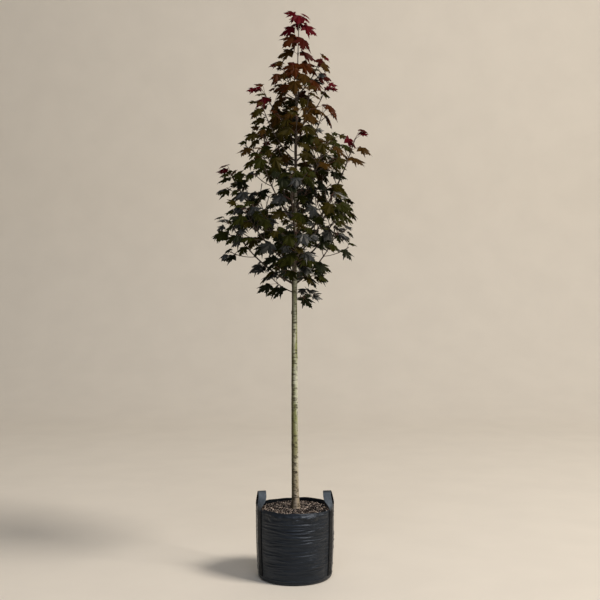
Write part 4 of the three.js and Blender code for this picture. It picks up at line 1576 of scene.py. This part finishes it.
def tilt_matrix(draw, most):
    """A turn about the upright, then a tilt of up to so many radians."""
    spin, tilt = draw.uniform(0, TURN), draw.normal(0, most)
    (cs, ss), (ct, st) = ((math.cos(a), math.sin(a)) for a in (spin, tilt))
    turn = np.array([[cs, -ss, 0], [ss, cs, 0], [0, 0, 1]])
    lean = np.array([[1, 0, 0], [0, ct, -st], [0, st, ct]])
    return turn @ lean


class BarkMulch(bpy.types.Operator):
    """Makes the bed of compost and the chips of bark on it"""

    bl_idname = "maple.mulch"
    bl_label = "Bark Mulch"

    def execute(self, context):
        settings = context.scene.maple_mulch
        low = GROUND - BED_DEPTH
        profile = [(radius, GROUND) for radius in np.linspace(0, MULCH_RADIUS, BED_RINGS)]
        profile += [(MULCH_RADIUS - 0.001, low), (MULCH_RADIUS * 0.5, low), (0, low)]
        bed = turn_profile("mulch_bed", profile, BED_STEPS)
        points = vertices_of(bed)
        top = points[:, 2] > GROUND - BED_DEPTH / 2
        points[top, 2] = mulch_height(points[top, 0], points[top, 1])
        set_vertices(bed, points)
        # The bed is very dark: dark compost plus painted shade in the gaps between the chips.
        bed.data.materials.append(spotted("damp_compost", settings.bed, settings.dark, 9, 0.9, 0.002))
        smooth(bed, 50)
        finish_piece(bed, "bark_mulch", "bark_mulch")
        for kind, pile in self.scatter(settings).items():
            colour = getattr(settings, kind)
            finish = spotted(f"{kind}_bark_chips", colour, dimmed(colour, 0.6), 6, 0.85, 0.0008)
            finish_piece(pile.make(f"mulch_chips_{kind}", finish), "bark_mulch")
        return {"FINISHED"}

    def scatter(self, settings):
        """Chips all over the bed, the pale ones small and on top."""
        draw = np.random.default_rng(MULCH_SEED)
        piles = {kind: Pile() for kind in CHIP_KINDS}
        parts = [part for part, _, _ in CHIP_KINDS.values()]
        for _ in range(settings.chips):
            kind = draw.choice(list(CHIP_KINDS), p=parts)
            _, scale, lift = CHIP_KINDS[kind]
            length = settings.chip * scale * draw.lognormal(0, CHIP_SPREAD)
            radius = (MULCH_RADIUS - RIM_GAP - length / 2) * math.sqrt(draw.uniform(0, 1))
            angle = draw.uniform(0, TURN)
            points, faces = chip_shape(draw, length)
            points = points @ tilt_matrix(draw, CHIP_TILT).T
            if radius < STEM_RADIUS_LOW + FLARE_RADIUS + length / 2:
                continue
            x, y = radius * math.cos(angle), radius * math.sin(angle)
            height = float(mulch_height(x, y)) + lift + draw.uniform(-0.001, 0.004)
            piles[kind].add(points + [x, y, height], faces)
        return piles


# Trunk and boughs

# Old cuts on the clear stem: height, bearing and radius
SCARS = [
    (1.353, 196, 0.0055),
    (1.263, 262, 0.0065),
    (1.120, 30, 0.006),
    (0.985, 120, 0.007),
    (0.909, 258, 0.0075),
    (0.875, 300, 0.0065),
    (0.760, 75, 0.007),
    (0.673, 245, 0.006),
    (0.576, 266, 0.007),
    (0.531, 285, 0.0055),
    (0.412, 272, 0.006),
]
PORE_SEED = 7
PORE_COUNT = 520
PORES_TOP = 2.1
PORE_WIDTH = 0.0032
PORE_HEIGHT = 0.0011
PORE_REACH = 0.006
PORE_RISE = 0.0007
TRUNK_SIDES = 48
CLEAR_RINGS = 1130
CROWN_RINGS = 500
ROOT_RISE = 0.0022
ROOT_FADE = 0.03
PAINTED_SHADE_BEARING = 0.3
COLLAR_RISE = 0.42
COLLAR_WIDTH = 1.7
COLLAR_HEIGHT = 2.2
COLLAR_LIFT = 0.004
BOUGH_RINGS = 64
BOUGH_SIDES = 14
BOUGH_GRAIN = 0.00018


def bark_relief(angle, height, radius):
    """How far the bark stands out, and how dark its marks are, over arrays of points on the trunk."""
    draw = np.random.default_rng(PORE_SEED)
    out = 0.0005 * np.sin(2 * angle + 2.1 * height) + 0.0004 * np.sin(3 * angle - 5 * height + 1)
    out += 0.00022 * np.sin(11 * angle + 3 * np.sin(9 * height)) * np.sin(17 * height + 4 * angle)
    out += 0.0003 * np.sin(23 * height + 0.6 * np.sin(2 * angle)) ** 8
    mark = np.zeros_like(out)
    turns, levels = draw.uniform(0, TURN, PORE_COUNT), draw.uniform(GROUND, PORES_TOP, PORE_COUNT)
    for turn, level, scale in zip(turns, levels, draw.uniform(0.5, 1, PORE_COUNT)):
        near = np.abs(height - level) < PORE_REACH
        around = wrapped(angle[near] - turn) * radius[near] / (PORE_WIDTH * scale)
        hump = bell(np.hypot(around, (height[near] - level) / (PORE_HEIGHT * scale)))
        out[near] += PORE_RISE * scale * hump
        mark[near] += 0.75 * scale * hump
    for level, bearing, scale in SCARS:
        around = wrapped(angle - math.radians(bearing)) * radius
        off = np.hypot(around / 1.15, height - level) / scale
        ring, eye = bell((off - 1) / 0.32), bell(off / 0.5)
        out += 0.0017 * ring - 0.0012 * eye + 0.0012 * bell(off / 1.8)
        mark += 0.95 * eye + 0.25 * ring
    return out, np.clip(mark, 0, 1)


def collar_relief(angle, height, radius):
    """Swellings of the trunk under the feet of its boughs and shoots."""
    out = np.zeros_like(angle)
    for mass in crown_plan()[:-1]:
        around = wrapped(angle - mass.bearing) * radius / (mass.thick * COLLAR_WIDTH)
        up = (height - mass.foot - COLLAR_LIFT) / (mass.thick * COLLAR_HEIGHT)
        out += mass.thick * COLLAR_RISE * bell(np.hypot(around, up))
    return out


def trunk_piece(settings):
    """The trunk, from a drum with close rings that is set round its axis."""
    clear = np.linspace(GROUND, CROWN_BASE, CLEAR_RINGS, endpoint=False)
    crown = np.linspace(CROWN_BASE, TRUNK_TIP, CROWN_RINGS)
    rings = [(1, height) for height in (*clear, *crown)]
    piece = turn_profile("trunk_bark", [(0, GROUND), *rings, (0, TRUNK_TIP)], TRUNK_SIDES)
    points = vertices_of(piece)
    height = points[:, 2]
    angle = np.arctan2(points[:, 1], points[:, 0])
    plain = trunk_radius(height)
    relief, mark = bark_relief(angle, height, plain)
    roots = ROOT_RISE * np.sin(5 * angle + 0.6) * np.exp(-(height - GROUND) / ROOT_FADE)
    thin = np.clip(plain / STEM_RADIUS_HIGH, 0.3, 1)
    radius = plain + (relief * thin + roots) * settings.relief + collar_relief(angle, height, plain)
    centres = trunk_axis().bezier(trunk_share(height))
    set_vertices(piece, centres + points * LEVEL * radius[:, None])
    # Painted shade: darkest on the left side of the trunk, fading out towards the right.
    damp = 0.9 * np.clip(-1.15 * np.cos(angle - PAINTED_SHADE_BEARING), 0, 1) ** 1.4
    for name, values in (("mark", mark), ("damp", damp)):
        piece.data.attributes.new(name, "FLOAT", "POINT").data.foreach_set("value", values)
    smooth(piece, 60)
    return piece


def bough_shape(mass, settings):
    """One bough with a flared foot, a ring of old bud scales and a slightly uneven bark."""
    shares = np.linspace(0.0, mass.split, BOUGH_RINGS)
    centres, run = mass.axis.point(shares), shares * mass.axis.length
    from_trunk = np.maximum(run - float(trunk_radius(mass.foot)), 0)
    radii = mass.radius_at(shares) * (1 + 0.5 * np.exp(-from_trunk / 0.012))
    ringed = 0.1 * bell((run - 0.75 * run[-1]) / 0.0025)
    radii *= 1 + settings.relief * (0.04 * np.sin(run * 310 + mass.index) + ringed)
    points, faces = tube_shape(centres, radii, BOUGH_SIDES, mass.reference)
    grain = np.array([spread(BOUGH_GRAIN, mass.index, i) for i in range(len(points))])
    outward = points - np.repeat(centres, BOUGH_SIDES, axis=0)
    outward /= np.linalg.norm(outward, axis=1, keepdims=True)
    return points + outward * grain[:, None] * settings.relief, faces


class TrunkAndBoughs(bpy.types.Operator):
    """Makes the trunk and the bare feet of the boughs, with the relief of their bark"""

    bl_idname = "maple.trunk"
    bl_label = "Trunk and Boughs"

    def execute(self, context):
        settings = context.scene.maple_trunk
        trunk = trunk_piece(settings)
        trunk.data.materials.append(trunk_bark(settings))
        finish_piece(trunk, "trunk_bark", "trunk")
        pile = Pile()
        bare = [mass for mass in crown_plan() if mass.bare]
        for mass in bare:
            pile.add(*bough_shape(mass, settings))
        finish = spotted("bough_bark", settings.twig, dimmed(settings.twig, 0.55), 7, 0.7, 0.0008)
        boughs = pile.make("bough_bark", finish, smooth_angle=45)
        finish_piece(boughs, "twig_bark", *[f"bough_{mass.name}" for mass in bare])
        return {"FINISHED"}


# Twigs and buds

STEM_RINGS, STEM_SIDES = 28, 8
TWIG_RINGS, TWIG_SIDES = 9, 6
NODE_SWELL = 0.32
NODE_SWELL_LENGTH = 0.0035
STEM_BUD = 0.006
TWIG_BUD = 0.0045
TIP_BUD_SHARE = 1.5


def twig_shape(shoot, rings, sides):
    """A leafy axis with a swelling at each node."""
    shares = [np.linspace(shoot.start, 1, rings), np.clip(shoot.nodes, shoot.start, 1)]
    shares = np.unique(np.concatenate(shares))
    radii = shoot.radius_at(shares)
    for node in shoot.nodes:
        radii = radii * (1 + NODE_SWELL * bell((shares - node) * shoot.axis.length / NODE_SWELL_LENGTH))
    return tube_shape(shoot.axis.point(shares), radii, sides, shoot.reference)


def bud_shape(foot, way, length):
    """A pointed bud."""
    run = np.array([0.0, 0.3, 0.62, 0.9])
    radii = np.array([0.55, 1.0, 0.72, 0.16]) * length * 0.3
    reference = np.cross(way, UP + 0.15 * SUN)
    return tube_shape(foot + way * run[:, None] * length, radii, 6, unit(reference))


def add_buds(pile, shoot, length):
    """A bud in the corner of each leaf stalk, and one at the tip."""
    for node, along in enumerate(shoot.nodes):
        for side in (0, 1):
            point, way, out = shoot.side(along, node, side)
            lean = unit(way * 0.85 + out * 0.5)
            pile.add(*bud_shape(point + out * shoot.radius_at(along) * 0.8, lean, length))
    pile.add(*bud_shape(shoot.axis.point(0.997), shoot.axis.direction(1.0), length * TIP_BUD_SHARE))


class TwigsAndBuds(bpy.types.Operator):
    """Makes the leafy stems, side twigs, spurs and buds of the crown"""

    bl_idname = "maple.twigs"
    bl_label = "Twigs and Buds"

    def execute(self, context):
        settings = context.scene.maple_trunk
        leaf = context.scene.maple_leaf
        twigs, buds, tip = Pile(), Pile(), Pile()
        for mass in grown_crown(leaf.length, leaf.stalk).masses:
            (tip if mass.name == "leader" else twigs).add(*twig_shape(mass.stem, STEM_RINGS, STEM_SIDES))
            add_buds(buds, mass.stem, STEM_BUD)
            for twig in mass.twigs:
                twigs.add(*twig_shape(twig, TWIG_RINGS, TWIG_SIDES))
                add_buds(buds, twig, TWIG_BUD)
        finish = spotted("young_twig_bark", settings.twig, dimmed(settings.twig, 0.5), 5, 0.6)
        piece = twigs.make("crown_twigs", finish, smooth_angle=50)
        *nodes, leader = (f"foliage_{mass.name}" for mass in crown_plan())
        finish_piece(piece, "twig_bark", *nodes)
        piece = tip.make("leader_bark", bpy.data.materials["young_maple_bark"], smooth_angle=50)
        finish_piece(piece, "twig_bark", leader)
        scales = spotted("bud_scales", settings.bud, dimmed(settings.bud, 0.6), 3, 0.45)
        finish_piece(buds.make("crown_buds", scales, smooth_angle=60), "twig_bark")
        return {"FINISHED"}


# Leaves

RIM_WOBBLE = 0.012
TIP_WOBBLE = 0.03
RIB_WOBBLE = 0.008
LEAF_WELD_GAP = 1e-7
STALK_RADIUS = 0.001
STALK_SINK = 0.002
RIB_RADIUS = 0.0008
UPPER_ROUGH, UNDER_ROUGH = 0.36, 0.6
UPPER_GLOSS, UNDER_GLOSS, SLATE_GLOSS = 0.025, 0.02, 0.4
UNDERSIDE = (0.9, 1.1, 0.9)


class LeafMould:
    """The blade of a leaf: a thin closed shell whose two sides share the rim."""

    def __init__(self, thickness):
        rim = [*LEAF_RIM, *mirrored(LEAF_RIM), LEAF_TIP, (0.0, 0.0, 0.0)]
        ribs = [*LEAF_RIBS, *mirrored(LEAF_RIBS), *LEAF_MIDRIB]
        half, first, self.rib_points = len(LEAF_RIM), len(rim), len(ribs)
        low = [(u, v, w - thickness) for u, v, w in ribs]
        self.points = np.array([*rim, *ribs, *low])
        tip = 2 * half
        shared = {"tip": tip, "base": tip + 1, "low": first + 4, "high": first + 5, "hub": first + 6}
        self.upper = []
        for turn in (0, 1):
            named = {**shared, "side": first + 2 * turn, "basal": first + 2 * turn + 1}
            for face in LEAF_HALF_FACES:
                corners = [named[c] if isinstance(c, str) else c + turn * half for c in face]
                self.upper.append(tuple(corners if turn else reversed(corners)))
        under = first + len(ribs)
        down = [*range(first), *range(under, under + len(ribs))]
        self.lower = [tuple(down[i] for i in reversed(face)) for face in self.upper]
        hub = under + 6
        self.ribs = [(hub, under + 4, under + 5, tip)]
        self.ribs += [(hub, under + 2 * turn, SIDE_LOBE + half * turn) for turn in (0, 1)]
        self.ribs += [(hub, under + 2 * turn + 1, BASAL_LOBE + half * turn) for turn in (0, 1)]
        self.loose = [RIM_WOBBLE] * 2 * half + [TIP_WOBBLE, 0] + [RIB_WOBBLE] * 2 * len(ribs)
        self.loose = np.array(self.loose)

    def shape(self, leaf):
        """The blade's points for one leaf, with its own curl, width and wobble."""
        draw = np.random.default_rng([abs(int(k)) for k in leaf.keys])
        points, ribs = self.points.copy(), self.rib_points
        wobble = draw.normal(0, 1, (len(points), 3)) * self.loose[:, None]
        wobble[-ribs:] = wobble[-2 * ribs : -ribs]
        points += wobble
        points[:, 1] *= draw.uniform(0.92, 1.08)
        points[:, 2] *= draw.uniform(0.75, 1.45)
        points[:, 2] -= draw.uniform(-0.03, 0.12) * points[:, 0] ** 2
        points[:, 2] += draw.normal(0, 0.07) * points[:, 1] * points[:, 0]
        return leaf.place(points)


def stalk_shape(leaf):
    """A stalk that leaves its twig, bows under the blade's weight and meets its base."""
    way = leaf.base - leaf.foot
    bow = leaf.foot + way * 0.55 + UP * np.linalg.norm(way) * 0.1
    axis = Axis(leaf.foot, bow, leaf.base + leaf.midrib * STALK_SINK)
    shares = np.array([0, 0.06, 0.3, 0.6, 0.85, 1.0])
    radii = np.array([1.7, 1.25, 0.95, 0.9, 1.0, 0.8]) * STALK_RADIUS
    return tube_shape(axis.point(shares), radii, 5, unit(np.cross(way, UP)))


def rib_shape(points, normal):
    """A rib that stands out of the underside of a blade and thins towards its tip."""
    points[-1] = lerp(points[-2], points[-1], 0.86)
    radii = np.linspace(RIB_RADIUS, RIB_RADIUS * 0.2, len(points))
    return tube_shape(points - normal * RIB_RADIUS * 0.4, radii, 3, normal)


def join_sides(piece):
    """Joins the two sides of each blade at the rim."""
    pick(piece)
    bpy.ops.object.mode_set(mode="EDIT")
    bpy.ops.mesh.select_all(action="SELECT")
    bpy.ops.mesh.remove_doubles(threshold=LEAF_WELD_GAP)
    bpy.ops.object.mode_set(mode="OBJECT")


class Leaves(bpy.types.Operator):
    """Makes the leaves, each tint as its own piece, with their stalks and ribs"""

    bl_idname = "maple.leaves"
    bl_label = "Leaves"

    def execute(self, context):
        settings = context.scene.maple_leaf
        mould = LeafMould(settings.thick / settings.length)
        blades = {name: Pile() for name in LEAF_TINTS}
        stalks = Pile()
        for leaf in grown_crown(settings.length, settings.stalk).leaves:
            points = mould.shape(leaf)
            blades[leaf.tint].add(points, mould.upper, 0)
            blades[leaf.tint].add(points, mould.lower, 1)
            stalks.add(*stalk_shape(leaf))
            for rib in mould.ribs:
                stalks.add(*rib_shape(points[list(rib)], leaf.normal))
        for name, pile in blades.items():
            colour = getattr(settings, name)
            shade = [channel * part for channel, part in zip(colour, UNDERSIDE)]
            # Slate leaves are glossier, and their grey colour is a painted sky sheen.
            gloss = SLATE_GLOSS if name == "slate" else UPPER_GLOSS
            upper = leaf_side(f"{name}_leaf", colour, UPPER_ROUGH, gloss)
            under = leaf_side(f"{name}_leaf_underside", shade, UNDER_ROUGH, UNDER_GLOSS)
            piece = pile.make(f"leaves_{name}", upper, under)
            join_sides(piece)
            smooth(piece, 26)
            finish_piece(piece, "young_leaf" if name == "crimson" else "leaf")
        colour = settings.stalk_colour
        finish = spotted("leaf_stalks", colour, dimmed(colour, 0.6), 12, 0.5)
        finish_piece(stalks.make("leaf_stalks", finish, smooth_angle=60), "leaf")
        return {"FINISHED"}


# Stage

# Lights: place, width and colour
LIGHTS = {
    "key": ((8.2, -4.2, 10.6), 4.0, "#fff4e6"),
    "fill": ((-2.0, -11.5, 5.5), 6.0, "#e6eeff"),
    "top": ((0.0, -7.5, 10.5), 8.0, "#e6eeff"),
}
LIGHT_AIM = (0, 0, 1.4)
SENSOR_WIDTH = 36
SWEEP_ROWS = 24


def area_light(name, place, width, energy, colour):
    """A square soft light that faces the tree."""
    bpy.ops.object.select_all(action="DESELECT")
    bpy.ops.object.light_add(type="AREA", location=place)
    lamp = bpy.context.object
    lamp.name = lamp.data.name = name
    lamp.data.size = width
    lamp.data.energy = energy
    lamp.data.color = linear(colour)
    direction = lamp.location.copy()
    direction.xyz = [a - p for a, p in zip(LIGHT_AIM, place)]
    lamp.rotation_euler = direction.to_track_quat("-Z", "Y").to_euler()


def backdrop(settings):
    """A wide floor that sweeps up behind the tree."""
    half, back, radius = settings.floor / 2, settings.back, settings.sweep
    bend = np.linspace(0, math.pi / 2, SWEEP_ROWS)
    bend = [(back + radius * math.sin(a), radius * (1 - math.cos(a))) for a in bend]
    profile = np.array([(-half, 0.0), *bend, (back + radius, half)])
    floor, row, across = add_grid("floor", 1, len(profile))
    set_vertices(floor, np.column_stack([across * settings.floor, profile[row]]))
    smooth(floor, 40)
    return floor


class Stage(bpy.types.Operator):
    """Sets the floor, the soft lights and the camera"""

    bl_idname = "maple.stage"
    bl_label = "Floor, Lights and Camera"

    def execute(self, context):
        settings = context.scene.maple_stage
        floor = backdrop(settings)
        finish = spotted("pale_floor", settings.pale, dimmed(settings.pale, 0.97), 400, 0.9)
        floor.data.materials.append(finish)
        for name, (place, width, colour) in LIGHTS.items():
            area_light(f"{name}_light", place, width, getattr(settings, name), colour)
        world = bpy.data.worlds.new("studio_air")
        world.use_nodes = True
        background = world.node_tree.nodes["Background"]
        background.inputs["Color"].default_value = opaque(settings.pale)
        background.inputs["Strength"].default_value = settings.air
        context.scene.world = world
        context.scene.view_settings.view_transform = "Standard"
        bpy.ops.object.camera_add(location=(settings.aside, -settings.distance, settings.eye))
        camera = context.object
        camera.name = "camera"
        camera.rotation_euler = (math.pi / 2, 0, 0)
        camera.data.sensor_width = SENSOR_WIDTH
        camera.data.lens = settings.lens
        context.scene.camera = camera
        return {"FINISHED"}


class MaplePanel(bpy.types.Panel):
    """Lists the pieces of the potted maple with their sizes and colours"""

    bl_idname = "VIEW3D_PT_potted_maple"
    bl_label = "Potted Maple"
    bl_space_type = "VIEW_3D"
    bl_region_type = "UI"
    bl_category = "Potted Maple"

    def draw(self, context):
        for name, operators in PANEL_ROWS.items():
            box = self.layout.box()
            group = getattr(context.scene, name)
            for setting in group.__annotations__:
                box.prop(group, setting)
            for operator in operators:
                box.operator(operator.bl_idname)


SETTINGS = {
    "maple_stage": StageSettings,
    "maple_bag": BagSettings,
    "maple_mulch": MulchSettings,
    "maple_trunk": TrunkSettings,
    "maple_leaf": LeafSettings,
}
PANEL_ROWS = {
    "maple_stage": (Stage,),
    "maple_bag": (PlantingBag, WebbingHandles),
    "maple_mulch": (BarkMulch,),
    "maple_trunk": (TrunkAndBoughs, TwigsAndBuds),
    "maple_leaf": (Leaves,),
}
OPERATORS = [operator for row in PANEL_ROWS.values() for operator in row]
CLASSES = [*SETTINGS.values(), *OPERATORS, MaplePanel]


def register():
    for made in CLASSES:
        bpy.utils.register_class(made)
    for name, group in SETTINGS.items():
        setattr(bpy.types.Scene, name, PointerProperty(type=group))


def unregister():
    for name in SETTINGS:
        delattr(bpy.types.Scene, name)
    for made in reversed(CLASSES):
        bpy.utils.unregister_class(made)


def main():
    register()
    bpy.ops.maple.stage()
    bpy.ops.maple.bag()
    bpy.ops.maple.handles()
    bpy.ops.maple.mulch()
    bpy.ops.maple.trunk()
    bpy.ops.maple.twigs()
    bpy.ops.maple.leaves()


if __name__ == "__main__":
    main()
